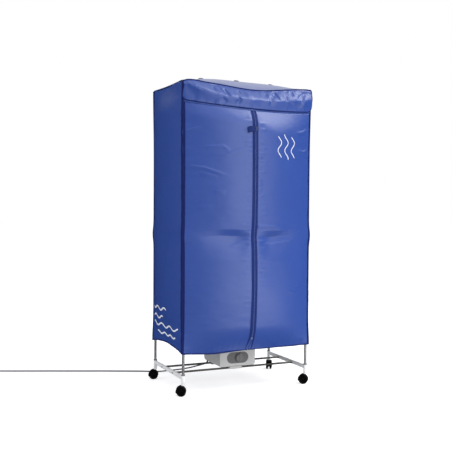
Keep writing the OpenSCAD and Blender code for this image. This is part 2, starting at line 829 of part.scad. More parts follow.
plate_t = 1.8;
module control_panel()
    color("gray") difference() {
        on_front(unit_front + panel_pocket - plate_t - 0.1, plate_t) panel_outline(0);
        translate([knob_x, unit_front, panel_z]) along_y()
            cylinder(r = 6, h = 30, center = true);
    }

timer_front = unit_front + panel_pocket + pocket_floor + seat_gap;
timer_w = 44;
timer_d = 32;
module timer_body()
    color("lightgray") difference() {
        union() {
            translate([knob_x - timer_w / 2, timer_front, panel_z - timer_w / 2])
                cube([timer_w, timer_d, timer_w]);
            for (s = [-1, 1]) translate([knob_x + 10 * s - 1, timer_front + timer_d - 1, panel_z - 4])
                cube([2, 9, 6]);
        }
        translate([knob_x, timer_front - over, panel_z]) along_y()
            cylinder(r = 3 + fit_gap, h = 22 + over);
    }

knob_back = unit_front + panel_pocket - plate_t - 0.1 - 0.4;
module timer_knob()
    color("dimgray") translate([knob_x, knob_back, panel_z]) rotate([90, 0, 0]) {
        difference() {
            union() {
                cylinder(r = knob_r, h = 4);
                cylinder(r1 = knob_r - 1, r2 = knob_r - 3, h = knob_h - 2);
                intersection() {
                    cylinder(r = knob_r - 3, h = knob_h);
                    translate([-4, -knob_r, 0]) cube([8, 2 * knob_r, knob_h]);
                }
            }
            for (k = [0:17]) rotate([0, 0, 20 * k + 10]) translate([knob_r, 0, -over])
                cylinder(r = 1.2, h = 4 + 2 * over, $fn = 16);
            // pointer line on the grip
            translate([-0.8, knob_r - 10, knob_h - 0.8]) cube([1.6, 6, 2]);
        }
        translate([0, 0, -26]) cylinder(r = 3, h = 27);
    }

duct_low = unit_floor + unit_wall + seat_gap + 2 + 0.1;
motor_plate = duct_low + 42;
module fan_duct()
    color("lightgray") translate([0, fan_y, 0]) {
        translate([0, 0, duct_low]) difference() {
            cylinder(r = duct_r + 3, h = split_z - duct_low - 2);
            translate([0, 0, -over]) cylinder(r = duct_r, h = 200);
        }
        translate([0, 0, split_z - 5]) difference() {
            cylinder(r = duct_r + 9, h = 3);
            translate([0, 0, -over]) cylinder(r = duct_r, h = 9);
        }
        difference() {
            translate([0, 0, motor_plate]) {
                cylinder(r = 24, h = 4);
                for (k = [0:2]) rotate([0, 0, 120 * k + 30]) translate([0, -4, 0])
                    cube([duct_r + 1, 8, 4]);
            }
            translate([0, 0, motor_plate - over]) cylinder(r = 6, h = 6);
        }
    }

motor_z = motor_plate + 4 + 0.1;
module fan_motor()
    color("silver") translate([0, fan_y, motor_z]) {
        cylinder(r = 18, h = 22);
        translate([0, 0, 4]) cylinder(r = 20, h = 12);
        translate([0, 0, -32]) cylinder(r = 2, h = 33);
        translate([0, 0, 20]) cylinder(r = 6, h = 6);
    }

// Blades set at 35 degrees between the hub and the tip circle
module fan_impeller() {
    hub_r = 15;
    hub_h = 24;
    tip_r = duct_r - 3;
    color("black") translate([0, fan_y, motor_plate - 3 - hub_h]) difference() {
        union() {
            cylinder(r = hub_r, h = hub_h);
            intersection() {
                difference() {
                    cylinder(r = tip_r, h = hub_h);
                    translate([0, 0, -over]) cylinder(r = hub_r - 2, h = hub_h + 2 * over);
                }
                for (k = [0:blade_count - 1]) rotate([0, 0, 360 * k / blade_count])
                    translate([0, 0, hub_h / 2]) rotate([35, 0, 0])
                        translate([hub_r - 2, -16, -0.9]) cube([tip_r, 32, 1.8]);
            }
        }
        translate([0, 0, -over]) cylinder(r = 2 + fit_gap, h = hub_h + 2 * over);
        translate([0, 0, -over]) difference() {
            cylinder(r = hub_r - 2, h = hub_h - 6);
            cylinder(r = 5, h = hub_h);
        }
    }
}

element_w = 98;
element_d = 74;
element_h = 20;
element_z = split_z - 2 + seat_gap;
bar_pitch = (element_d - 8) / 3;
module heating_element()
    color("goldenrod") translate([0, fan_y, element_z]) {
        difference() {
            translate([-element_w / 2, -element_d / 2, 0]) cube([element_w, element_d, element_h]);
            translate([-element_w / 2 + 5, -element_d / 2 + 4, -over])
                cube([element_w - 10, element_d - 8, element_h + 2 * over]);
        }
        for (k = [1, 2]) translate([-element_w / 2 + 4, -element_d / 2 + 4 + k * bar_pitch - 2, 3])
            cube([element_w - 8, 4, element_h - 6]);
    }

fin_pitch = 4;
module element_fins() {
    fin_count = floor((element_w - 16) / fin_pitch);
    color("silver") translate([0, fan_y, element_z])
        for (k = [0:2]) {
            // each band of fins is cut from one folded strip
            low = -element_d / 2 + 4 + k * bar_pitch + (k == 0 ? 0.3 : 2.3);
            high = -element_d / 2 + 4 + (k + 1) * bar_pitch - (k == 2 ? 0.3 : 2.3);
            for (j = [0:fin_count]) translate([(j - fin_count / 2) * fin_pitch - 0.3, low, 4])
                cube([0.6, high - low, element_h - 8]);
            for (y = [low, high - 0.6]) translate([-fin_count * fin_pitch / 2 - 0.3, y, 4])
                cube([fin_count * fin_pitch + 0.6, 0.6, 2]);
        }
}

module thermal_cutout()
    color("black") translate([element_w / 2 + 0.3, fan_y, element_z + element_h / 2])
        along_x() {
            cylinder(r = 8, h = 5);
            cylinder(r = 5, h = 9);
        }

module terminal_block()
    color("ivory") translate([-56, unit_rear - unit_wall - seat_gap - 14, unit_floor + 44]) {
        difference() {
            cube([38, 14, 14]);
            for (k = [0:2]) translate([7 + 12 * k, 7, 6]) cylinder(r = 2.2, h = 10);
        }
    }

relief_len = 21.9;
module strain_relief()
    color("black") lead_place(rear_edge_r + boss_reach + 0.1) difference() {
        union() {
            translate([0, 0, -8]) cylinder(r = 5, h = 9);
            cylinder(r = 8.5, h = 2.5);
            translate([0, 0, 2.4]) cylinder(r1 = 6.6, r2 = 4.4, h = relief_len + 0.1);
            for (k = [0:3]) translate([0, 0, 5 + 4.4 * k])
                cylinder(r = 6.6 - 0.42 * k, h = 1.6);
        }
        translate([0, 0, -9]) cylinder(r = lead_d / 2 + 0.1, h = 9 + relief_len - 4);
    }

// ---------- mains lead ----------

// The lead hangs from the relief to the floor, runs behind the frame and out to the left
lead_r = lead_d / 2;
lead_floor = lead_r + 0.1;
lead_route = [[-75, 118, 87], [-75, 123, 82], [-79, 132, 75], [-88, 143, 69],
    [-102, 155, 63], [-120, 169, 56], [-143, 188, 47], [-172, 220, 36], [-206, 262, 24],
    [-238, 302, 14], [-270, 338, 6], [-300, 362, lead_floor], [-340, 386, lead_floor],
    [-400, 414, lead_floor], [-480, 449, lead_floor], [-560, 484, lead_floor],
    [-640, 517, lead_floor], [-720, 551, lead_floor], [-800, 585, lead_floor],
    [-880, 618, lead_floor], [-960, 651, lead_floor], [-1040, 685, lead_floor],
    [-1095, 708, lead_floor], [-1104, 712, lead_floor]];

// A smooth run through the points, a ring about every 2.5 diameters
function bend(a, b, c, d, t) = 0.5 * (2 * b + (c - a) * t + (2 * a - 5 * b + 4 * c - d) * t * t
    + (3 * b - a - 3 * c + d) * t * t * t);
function smooth_run(p, pitch) = concat(
    [for (i = [0:len(p) - 2])
        let (a = p[max(i - 1, 0)], b = p[i], c = p[i + 1], d = p[min(i + 2, len(p) - 1)],
             steps = max(1, round(norm(c - b) / pitch)))
        for (k = [0:steps - 1]) bend(a, b, c, d, k / steps)],
    [p[len(p) - 1]]);
lead_path = smooth_run(lead_route, 2.5 * lead_d);

module mains_lead()
    color("dimgray") swept_tube(lead_path, lead_r, 8);

// The stored coil: the turns spiral in along the floor, climb a layer where the
// spiral reverses, and spiral out again on top. The last stretch drops to the plug.
coil_pitch = lead_d + 1.8;
layer_rise = lead_d + 0.6;
coil_steps = 24;
lead_end = lead_route[len(lead_route) - 1];
lead_way = unit(lead_end - lead_route[len(lead_route) - 2]);
coil_left = [-lead_way.y, lead_way.x, 0];
coil_start = lead_end + lead_d * lead_way;
coil_centre = coil_start + coil_r * coil_left;
start_angle = atan2(-coil_left.y, -coil_left.x);
inward_turns = coil_turns / 2 - 0.25;
function coil_radius(t) = coil_r - coil_pitch
    * (t < inward_turns ? t : t < inward_turns + 0.5 ? inward_turns : coil_turns - t);
function coil_rise(t) = layer_rise * ramp((t - inward_turns) / 0.5);
plug_z = 8.5;
tail = [for (d = [8, 22, 38, 54, 62])
    coil_start + d * lead_way + [0, 0, mix(layer_rise, plug_z - lead_floor, ramp((d - 8) / 46))]];
coil_path = concat(
    [lead_end, coil_start],
    [for (k = [1:coil_turns * coil_steps - 1])
        let (t = k / coil_steps, a = start_angle + 360 * t)
        [coil_centre.x + coil_radius(t) * cos(a), coil_centre.y + coil_radius(t) * sin(a),
         lead_floor + coil_rise(t)]],
    [coil_start + [0, 0, layer_rise]], tail);

module lead_coil()
    color("dimgray") swept_tube(coil_path, lead_r, 6);

// Least gap between two stretches of the coil at least a third of a turn apart
coil_gap = min([for (i = [0:len(coil_path) - 1], j = [0:len(coil_path) - 1])
    if (j > i + coil_steps / 3) norm(coil_path[i] - coil_path[j])]) - lead_d;
echo(coil_gap = coil_gap);
// Length of the lead from the relief to the plug
function run_length(p) = [for (i = 0, s = 0; i < len(p); s = s + (i + 1 < len(p)
    ? norm(p[i + 1] - p[i]) : 0), i = i + 1) s][len(p) - 1];
echo(lead_length = run_length(lead_path) + run_length(coil_path));

module plug_place()
    translate([coil_path[len(coil_path) - 1].x, coil_path[len(coil_path) - 1].y, plug_z])
        rotate([0, 0, atan2(lead_way.y, lead_way.x)]) children();

plug_neck = 10;
plug_len = 34;
plug_w = 35;
plug_t = 16;
module plug_body()
    color("black") plug_place() difference() {
        union() {
            along_x() cylinder(r1 = 4.6, r2 = 6.5, h = plug_neck + 4);
            translate([plug_neck, -plug_w / 2, -plug_t / 2]) linear_extrude(plug_t)
                soft_rect(plug_len, plug_w, 11, 5, 5, 11);
        }
        for (s = [-1, 1]) translate([plug_face - pin_root - 0.2, s * pin_gap / 2, 0]) along_x()
            cylinder(r = pin_r - 0.5 + fit_gap, h = pin_root + over);
    }

// Two round pins, each on a thinner root inside the plug
pin_r = 2.4;
pin_len = 19;
pin_root = 8;
pin_gap = 19;
pin_tip = 1.5;
plug_face = plug_neck + plug_len;
module plug_pins()
    color("silver") plug_place() for (s = [-1, 1])
        translate([plug_face, s * pin_gap / 2, 0]) along_x() {
            translate([0, 0, -pin_root]) cylinder(r = pin_r - 0.5, h = pin_root + 1);
            translate([0, 0, 0.1]) cylinder(r = pin_r, h = pin_len - pin_tip - 0.1);
            translate([0, 0, pin_len - pin_tip]) cylinder(r1 = pin_r, r2 = pin_r - 1, h = pin_tip);
        }

// ---------- the part ----------

base_side(-1);  // base_side_left
base_side(1);  // base_side_right
base_rail(-1);  // base_rail_front
base_rail(1);  // base_rail_rear
rail_screws();
pole_collars();
lower_poles();
upper_poles();
pole_sleeves();
top_corners();
top_bar(-1);  // top_bar_left
top_bar(1);  // top_bar_right
top_rail(-1);  // top_rail_front
top_rail(1);  // top_rail_rear
hanging_rail();
rail_brackets();
castor_hood(0);  // castor_hood_fl
castor_hood(1);  // castor_hood_fr
castor_hood(2);  // castor_hood_bl
castor_hood(3);  // castor_hood_br
castor_wheels(0);  // castor_wheels_fl
castor_wheels(1);  // castor_wheels_fr
castor_wheels(2);  // castor_wheels_bl
castor_wheels(3);  // castor_wheels_br
heater_tub();
heater_lid();
heater_screws();
rail_clips();
inlet_grille();
outlet_grille();
control_panel();
timer_body();
timer_knob();
fan_duct();
fan_motor();
fan_impeller();
heating_element();
element_fins();
thermal_cutout();
terminal_block();
strain_relief();
cover_side(1);  // cover_left
cover_side(-1);  // cover_right
cover_back();
cover_top();
cover_header();
cover_piping();
vent_caps();
door_left();
door_right();
zip_tape_left();
zip_tape_right();
zip_coil();
zip_slider();
zip_pull();
front_flap();
mains_lead();
lead_coil();
plug_body();
plug_pins();
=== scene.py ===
"""The looks of a portable drying cabinet: a zipped nylon cover swollen by warm air,
on a plated tube frame with castors and a moulded heater.

Metres throughout, in the cabinet's own frame: +X right, front at -Y, +Z up."""

import json
import math

import bmesh
import bpy
import numpy as np
from mathutils import Matrix, Vector
from mathutils.bvhtree import BVHTree


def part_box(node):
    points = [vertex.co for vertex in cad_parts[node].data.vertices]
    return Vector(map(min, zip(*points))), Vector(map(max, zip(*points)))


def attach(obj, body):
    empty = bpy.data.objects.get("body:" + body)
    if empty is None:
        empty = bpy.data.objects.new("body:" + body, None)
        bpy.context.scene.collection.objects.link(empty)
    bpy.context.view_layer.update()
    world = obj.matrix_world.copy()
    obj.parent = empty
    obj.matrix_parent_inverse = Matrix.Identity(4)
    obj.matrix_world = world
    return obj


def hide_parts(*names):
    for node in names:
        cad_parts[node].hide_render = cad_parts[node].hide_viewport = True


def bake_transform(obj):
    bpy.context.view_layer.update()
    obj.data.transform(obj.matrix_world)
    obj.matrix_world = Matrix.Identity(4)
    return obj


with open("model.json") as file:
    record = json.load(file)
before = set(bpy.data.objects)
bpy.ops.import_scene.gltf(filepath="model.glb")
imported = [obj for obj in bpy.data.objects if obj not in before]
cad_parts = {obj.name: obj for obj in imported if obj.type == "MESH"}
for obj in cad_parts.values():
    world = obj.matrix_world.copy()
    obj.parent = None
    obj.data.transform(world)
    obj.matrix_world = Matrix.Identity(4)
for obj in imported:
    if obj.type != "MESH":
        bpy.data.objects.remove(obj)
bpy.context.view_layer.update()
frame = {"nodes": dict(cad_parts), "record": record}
MM = 0.001
SIDES = {-1: "left", 1: "right"}

# ---------- sizes that the cover shares with the frame ----------

piping_low, piping_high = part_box("cover_piping")
PIPING_R = 3 * MM
SEAM_X = piping_high.x - PIPING_R
SEAM_Y = piping_high.y - PIPING_R
HEM_Z = piping_low.z
TOP_EDGE = piping_high.z - PIPING_R
sleeve_low, sleeve_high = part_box("pole_sleeves")
JOINT_Z = (sleeve_low.z + sleeve_high.z) / 2
CLOTH = 0.9 * MM

# The top's edges: how they sag and round off over the corner pieces, and the front one's hump
TOP_SAG, SAG_MIDDLE, SAG_REACH = 25 * MM, 35 * MM, 200 * MM
CORNER_DROP, CORNER_REACH = 4 * MM, 28 * MM
HUMP, HUMP_X, HUMP_REACH = 5 * MM, -298 * MM, 45 * MM
SIDE_SEAM_DIP = 5 * MM

# What holds a corner seam out, and how far on either side of it
SEAM_BOW = 3.8 * MM
BOW_SUPPORTS = ((HEM_Z, 90 * MM), (JOINT_Z, 40 * MM), (TOP_EDGE, 210 * MM))

# How far the air swells each face, and the heights over which the swell grows from its foot
# and dies out at its head; the front's head is higher on its right
FRONT_SWELL = -SEAM_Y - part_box("door_left")[0].y - 9 * MM
FRONT_FOOT, FRONT_BELLY, STEEP_SHARE = 126 * MM, 330 * MM, 0.8
FRONT_HEAD, HEAD_GROWS, HEAD_FROM, HEAD_OVER = 185 * MM, 50 * MM, -30 * MM, 200 * MM
SIDE_SWELL = -SEAM_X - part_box("cover_left")[0].x - 1 * MM
SIDE_FOOT, SIDE_HEAD = 250 * MM, 150 * MM
TOP_SWELL = 66 * MM
STORY_SWELL = 7 * MM

# The waist, drawn in at the joint, and the fold below it: the share of the fold that is its
# steep head, how its line waves, and where it fades towards the zip and the corner seams
WAIST_IN, WAIST_REACH = 5 * MM, 50 * MM
FOLD_FOOT, FOLD, FOLD_IN, FOLD_HEAD = JOINT_Z - 118 * MM, 150 * MM, 17 * MM, 0.22
FOLD_WAVE, FOLD_WAVE_RUN = 4 * MM, 75 * MM
FOLD_FROM_ZIP, FOLD_END, FOLD_FADE = 100 * MM, 310 * MM, 200 * MM

# The hems: the sides' arch, and the front's sag with its low place over the heater's left
HEM_ARCH = 21 * MM
HEM_SAG, HEM_LOW, HEM_LOW_X, HEM_LOW_REACH = 2.5 * MM, 9 * MM, -190 * MM, 115 * MM
HEM_TAPE = 7 * MM
DOOR_STEP, DOOR_HIGH, DOOR_DROP = 3.4 * MM, 1.18, 8 * MM

# The flap, which is fullest at its crest, a share of its drop that is less towards its ends
FLAP_DROP, FLAP_TILT, FLAP_DIP = 106 * MM, 11 * MM, 17 * MM
FLAP_EDGE = SEAM_X + 5 * MM
FLAP_CORNER, FLAP_NEAR_CORNER = 30 * MM, 22 * MM
FLAP_CLEAR, FLAP_ROLL = 1.8 * MM, 9 * MM
FLAP_PUFF, PUFF_IN, PUFF_REACH = 9 * MM, 50 * MM, 75 * MM
CREST, CREST_LEFT, CREST_RIGHT = 0.58, 0.36, 0.08
CREST_RUN, CREST_RIGHT_FROM = 200 * MM, 100 * MM
ROUNDING = 0.16
FLAP_HIGH = 120 * MM

ZIP_W = 30 * MM
ZIP_LOW = HEM_Z + 6 * MM
ZIP_END = 0.266
COIL_HALF = 4.6 * MM
TAPE_STAND = 1.2 * MM
TEETH_PITCH = 2.4 * MM
# Widths of the dark tapes that paint shade beside the corner seams, and their gap from the seam
FRONT_BAND, SIDE_BAND, BAND_GAP = 9 * MM, 14 * MM, 1 * MM


# ---------- small helpers ----------

def linear(code):
    """An sRGB hex colour as linear RGBA."""
    parts = [int(code[i:i + 2], 16) / 255 for i in (1, 3, 5)]
    return [c / 12.92 if c <= 0.04045 else ((c + 0.055) / 1.055) ** 2.4 for c in parts] + [1.0]


def add(tree, kind, inputs=None, **settings):
    """Adds a node, sets it up and links or fills its inputs, by name or by number."""
    made = tree.nodes.new(kind)
    for key, value in settings.items():
        setattr(made, key, value)
    for key, value in (inputs or {}).items():
        if isinstance(value, bpy.types.NodeSocket):
            tree.links.new(value, made.inputs[key])
        else:
            made.inputs[key].default_value = value
    return made


def blank_nodes(owner):
    """The emptied node tree of a world or a material."""
    owner.use_nodes = True
    owner.node_tree.nodes.clear()
    return owner.node_tree


def ramp(t):
    """From nought to one as t does, with a soft start and end."""
    u = np.clip(t, 0, 1)
    return u * u * (3 - 2 * u)


def bell(t):
    return np.exp(-t ** 2)


def unit(vectors):
    return vectors / np.linalg.norm(vectors, axis=-1, keepdims=True)


def run_length(path):
    """How far along the path each of its points lies."""
    return np.concatenate([[0], np.cumsum(np.linalg.norm(np.diff(path, axis=0), axis=1))])


def placed(name, data):
    """A new object in the scene."""
    thing = bpy.data.objects.new(name, data)
    bpy.context.scene.collection.objects.link(thing)
    return thing


def mesh_object(name, points, faces, uv=None):
    """A smooth mesh object from points and faces, with a UV for each point."""
    mesh = bpy.data.meshes.new(name)
    mesh.from_pydata([tuple(p) for p in points], [], [tuple(f) for f in faces])
    if uv is not None:
        layer = mesh.uv_layers.new(name="UVMap")
        corners = np.empty(len(mesh.loops), int)
        mesh.loops.foreach_get("vertex_index", corners)
        layer.data.foreach_set("uv", np.asarray(uv, float)[corners].ravel())
    mesh.polygons.foreach_set("use_smooth", [True] * len(mesh.polygons))
    mesh.update()
    return placed(name, mesh)


def grid_faces(rows, cols, ring=False):
    """Quads of a grid of rows by cols points, closed across the columns if ring."""
    last = cols if ring else cols - 1
    return [(i * cols + j, i * cols + (j + 1) % cols, (i + 1) * cols + (j + 1) % cols,
             (i + 1) * cols + j) for i in range(rows - 1) for j in range(last)]


def cloth_panel(name, points, u, v):
    """A grid of points as a mesh, with UVs in metres."""
    uv = np.stack(np.broadcast_arrays(u, v), axis=2)
    return mesh_object(name, points.reshape(-1, 3), grid_faces(*points.shape[:2]), uv.reshape(-1, 2))


def joined(name, parts):
    """Joins meshes made for one piece into one object of that name."""
    with bpy.context.temp_override(active_object=parts[0], selected_editable_objects=parts):
        bpy.ops.object.join()
    parts[0].name = name
    return parts[0]


def dress(thing, material, body, replaces=(), thickness=0.0):
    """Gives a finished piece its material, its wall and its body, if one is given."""
    thing.data.materials.clear()
    thing.data.materials.append(material)
    if thickness:
        wall = thing.modifiers.new("wall", "SOLIDIFY")
        wall.thickness = thickness
        wall.offset = 0
    if body:
        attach(thing, body)
    if replaces:
        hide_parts(*replaces)
    return thing


# ---------- camera, lamps and floor ----------

CAMERA_AT = (-1.6668, -3.6102, 0.9146)
CAMERA_TURN = (24.46, -1.542, 0.365)  # yaw, pitch and roll in degrees
CAMERA_LENS = 61.21
FILL_LIGHT = 0.6
FLOOR_HALF = 30.0
PAPER_GLOW = 0.57
# Each softbox's place, the point it faces, its width and height in metres, and its watts
SOFTBOXES = {
    "key_softbox": ((1.15, -3.8, 1.5), (0.0, -0.25, 0.95), (2.0, 2.9), 50),
    "low_softbox": ((0.44, -1.25, 0.24), (0.0, -0.25, 0.42), (1.1, 0.36), 1.9),
    "high_softbox": ((2.7, -1.8, 4.3), (0.0, -0.25, 1.4), (2.6, 2.6), 120),
    "left_softbox": ((-4.2, -0.2, 1.3), (-0.35, 0.0, 0.7), (1.6, 2.4), 37),
}
# Each black cloth's radius round the cabinet at its foot and at its head, the height of its
# head, and the headings where it starts and ends, in degrees from the front
CLOTH_FOOT = 2 * MM
BLACK_CLOTHS = {
    "black_curtain": (5.5, 5.5, 3.4, 0, 360),
    "near_floor_cloth": (0.28, 1.15, CLOTH_FOOT, 0, 360),
    "far_floor_cloth": (1.15, 5.5, CLOTH_FOOT, 50, 364),
}


def place_camera():
    yaw, pitch, roll = (math.radians(angle) for angle in CAMERA_TURN)
    ahead = Vector((math.sin(yaw) * math.cos(pitch), math.cos(yaw) * math.cos(pitch), math.sin(pitch)))
    level = Vector((math.cos(yaw), -math.sin(yaw), 0))
    above = level.cross(ahead)
    right = math.cos(roll) * level + math.sin(roll) * above
    up = math.cos(roll) * above - math.sin(roll) * level
    eye = bpy.data.cameras.new("camera")
    eye.lens = CAMERA_LENS
    eye.sensor_width = 36
    eye.clip_end = 60
    camera = placed("camera", eye)
    turn = Matrix((right, up, -ahead)).transposed().to_4x4()
    camera.matrix_world = Matrix.Translation(CAMERA_AT) @ turn
    bpy.context.scene.camera = camera


def hang_softboxes():
    for name, (at, toward, size, watts) in SOFTBOXES.items():
        lamp = bpy.data.lights.new(name, "AREA")
        lamp.shape = "RECTANGLE"
        lamp.size, lamp.size_y = size
        lamp.energy = watts
        box = placed(name, lamp)
        box.location = at
        box.rotation_euler = (Vector(toward) - Vector(at)).to_track_quat("-Z", "Y").to_euler()


def hang_black_cloths():
    """Velvet that only glossy rays meet: it gives the cover's shine an edge and takes no light."""
    velvet = bpy.data.materials.new("black_velvet")
    tree = blank_nodes(velvet)
    black = add(tree, "ShaderNodeBsdfDiffuse", {"Color": linear("#050505")})
    add(tree, "ShaderNodeOutputMaterial", {"Surface": black.outputs[0]})
    for name, (near, far, rise, start, end) in BLACK_CLOTHS.items():
        a = np.radians(np.linspace(start, end, 73))
        way = np.stack([np.sin(a), -np.cos(a), 0 * a], axis=1)
        rims = [near * way + [0, 0, CLOTH_FOOT], far * way + [0, 0, rise]]
        cloth = mesh_object(name, np.concatenate(rims), grid_faces(2, len(a)))
        cloth.data.materials.append(velvet)
        cloth.visible_camera = cloth.visible_diffuse = cloth.visible_shadow = False


def lay_floor():
    """Matt paper. The lamps whiten it near the cabinet, and further off its own glow does,
    which only the eye meets."""
    corners = [(x * FLOOR_HALF, y * FLOOR_HALF, 0) for x, y in ((-1, -1), (1, -1), (1, 1), (-1, 1))]
    floor = mesh_object("floor", corners, [(0, 1, 2, 3)])
    paper = bpy.data.materials.new("white_studio_paper")
    tree = blank_nodes(paper)
    matt = add(tree, "ShaderNodeBsdfDiffuse", {"Color": linear("#F2F2F3")})
    glow = add(tree, "ShaderNodeEmission", {"Color": (1, 1, 1, 1), "Strength": PAPER_GLOW})
    both = add(tree, "ShaderNodeAddShader", {0: matt.outputs[0], 1: glow.outputs[0]})
    eye = add(tree, "ShaderNodeLightPath").outputs["Is Camera Ray"]
    shown = add(tree, "ShaderNodeMixShader", {0: eye, 1: matt.outputs[0], 2: both.outputs[0]})
    add(tree, "ShaderNodeOutputMaterial", {"Surface": shown.outputs[0]})
    floor.data.materials.append(paper)


def light_studio():
    """A soft fill from all round, which is white where the eye, a mirror or a clear piece meets it."""
    world = bpy.data.worlds.new("studio")
    bpy.context.scene.world = world
    tree = blank_nodes(world)
    path = add(tree, "ShaderNodeLightPath")
    seen = add(tree, "ShaderNodeMath", {0: path.outputs["Is Camera Ray"], 1: path.outputs["Is Glossy Ray"]},
               operation="MAXIMUM")
    seen = add(tree, "ShaderNodeMath", {0: seen.outputs[0], 1: path.outputs["Is Transmission Ray"]},
               operation="MAXIMUM")
    fill = add(tree, "ShaderNodeBackground", {"Color": linear("#FAFBFF"), "Strength": FILL_LIGHT})
    white = add(tree, "ShaderNodeBackground", {"Color": (1, 1, 1, 1), "Strength": 1.0})
    mixed = add(tree, "ShaderNodeMixShader", {0: seen.outputs[0], 1: fill.outputs[0], 2: white.outputs[0]})
    add(tree, "ShaderNodeOutputWorld", {"Surface": mixed.outputs[0]})
    hang_softboxes()
    hang_black_cloths()
    lay_floor()


# ---------- mains lead ----------

LEAD_R = 3.5 * MM
LEAD_FLOOR = LEAD_R + 0.1 * MM
# The route's points in mm, as in the part's source, up to the coil
LEAD_ROUTE = [(-75, 118, 87), (-75, 123, 82), (-79, 132, 75), (-88, 143, 69), (-102, 155, 63),
              (-120, 169, 56), (-143, 188, 47), (-172, 220, 36), (-206, 262, 24), (-238, 302, 14),
              (-270, 338, 6), (-300, 362, 3.6), (-340, 386, 3.6), (-400, 414, 3.6), (-480, 449, 3.6),
              (-560, 484, 3.6), (-640, 517, 3.6), (-720, 551, 3.6), (-800, 585, 3.6), (-880, 618, 3.6),
              (-960, 651, 3.6), (-1040, 685, 3.6), (-1095, 708, 3.6), (-1104, 712, 3.6)]
ROUTE_STEP = 8 * MM
COIL_TURNS = 2
COIL_R = 42 * MM
COIL_PITCH = 8.8 * MM
LAYER_RISE = 7.6 * MM
COIL_STEPS = 48
PLUG_Z = 8.5 * MM
TAIL = [8 * MM, 22 * MM, 38 * MM, 54 * MM, 62 * MM]
TAIL_FALL = 46 * MM


def smooth_run(points, pitch):
    """Points along a smooth curve through the given ones, about a pitch apart."""
    p = [np.array(q, float) for q in points]
    run = []
    for i in range(len(p) - 1):
        a, b, c, d = p[max(i - 1, 0)], p[i], p[i + 1], p[min(i + 2, len(p) - 1)]
        steps = max(1, round(np.linalg.norm(c - b) / pitch))
        for t in np.arange(steps) / steps:
            run.append(0.5 * (2 * b + (c - a) * t + (2 * a - 5 * b + 4 * c - d) * t ** 2
                              + (3 * b - a - 3 * c + d) * t ** 3))
    return run + [p[-1]]


def lead_path():
    """The lead's centre line: down to the floor, out to the left, and round its coil, whose
    turns go inwards, cross over in a low hump and come out again."""
    route = [np.array(p) * MM for p in LEAD_ROUTE]
    way = unit(route[-1] - route[-2])
    left = np.array([-way[1], way[0], 0])
    start = route[-1] + 2 * LEAD_R * way
    centre = start + COIL_R * left
    begin = math.atan2(-left[1], -left[0])
    inward = COIL_TURNS / 2 - 0.25
    coil = []
    for k in range(1, COIL_TURNS * COIL_STEPS):
        t = k / COIL_STEPS
        wound = t if t < inward else inward if t < inward + 0.5 else COIL_TURNS - t
        r = COIL_R - COIL_PITCH * wound
        z = LEAD_FLOOR + LAYER_RISE * float(ramp((t - inward) / 0.5))
        a = begin + 2 * math.pi * t
        coil.append(np.array([centre[0] + r * math.cos(a), centre[1] + r * math.sin(a), z]))
    up = np.array([0, 0, 1])
    fall = PLUG_Z - LEAD_FLOOR - LAYER_RISE
    tail = [start + d * way + up * (LAYER_RISE + fall * float(ramp((d - TAIL[0]) / TAIL_FALL)))
            for d in TAIL]
    return smooth_run(route, ROUTE_STEP) + [start] + coil + [start + up * LAYER_RISE] + tail


def make_lead(sheath, plug_plastic):
    path = lead_path()
    plug = refined("plug_body", plug_plastic, 0.8 * MM)
    line = bpy.data.curves.new("mains_lead", "CURVE")
    line.dimensions = "3D"
    line.bevel_depth = LEAD_R
    line.bevel_resolution = 3
    line.use_fill_caps = True
    run = line.splines.new("POLY")
    run.points.add(len(path) - 1)
    for point, at in zip(run.points, path):
        point.co = (*at, 1)
    lead = placed("lead", line)
    dress(lead, sheath, "cabinet", ("mains_lead", "lead_coil"))


# ---------- materials ----------

INPUT_NAMES = {"ior": "IOR", "specular": "Specular IOR Level", "metallic": "Metallic"}
WAVE_BANDS = 0.314  # how far apart a wave texture's bands lie at a scale of one


def surface(name, colour, roughness, coordinates, **more):
    """A material with one Principled shader, its tree, that shader, and where patterns lie."""
    made = bpy.data.materials.new(name)
    made.diffuse_color = linear(colour)
    tree = blank_nodes(made)
    shader = add(tree, "ShaderNodeBsdfPrincipled", {"Base Color": linear(colour), "Roughness": roughness})
    for key, value in more.items():
        shader.inputs[INPUT_NAMES[key]].default_value = value
    add(tree, "ShaderNodeOutputMaterial", {"Surface": shader.outputs[0]})
    return made, tree, shader, add(tree, "ShaderNodeTexCoord").outputs[coordinates]


def mottle(tree, shader, at, colour, other, scale):
    """Lets the colour drift between two close shades over patches of 1/scale metres."""
    noise = add(tree, "ShaderNodeTexNoise", {"Vector": at, "Scale": scale, "Detail": 3.0})
    mix = add(tree, "ShaderNodeMix", {0: noise.outputs[0], 6: linear(colour), 7: linear(other)},
              data_type="RGBA")
    tree.links.new(mix.outputs[2], shader.inputs["Base Color"])


def bumped(tree, shader, height, distance, strength, after=None):
    """Raises the surface by a height pattern, on top of an earlier bump if one is given."""
    inputs = {"Height": height, "Distance": distance, "Strength": strength}
    if after is not None:
        inputs["Normal"] = after
    bump = add(tree, "ShaderNodeBump", inputs)
    tree.links.new(bump.outputs[0], shader.inputs["Normal"])
    return bump.outputs[0]


def grained(tree, shader, at, scale, detail, depth, strength):
    """Raises the surface in fine uneven grains, 1/scale metres apart."""
    noise = add(tree, "ShaderNodeTexNoise", {"Vector": at, "Scale": scale, "Detail": detail})
    return bumped(tree, shader, noise.outputs[0], depth, strength)


def woven(tree, at, pitch):
    """Height of a plain weave on a UV in metres: two sets of threads, a pitch apart."""
    sizes = {"Vector": at, "Scale": WAVE_BANDS / pitch, "Distortion": 0.4, "Detail": 1.0,
             "Detail Scale": 2.0}
    warp, weft = (add(tree, "ShaderNodeTexWave", sizes, bands_direction=way).outputs["Fac"]
                  for way in ("X", "Y"))
    return add(tree, "ShaderNodeMath", {0: warp, 1: weft}, operation="MULTIPLY").outputs[0]


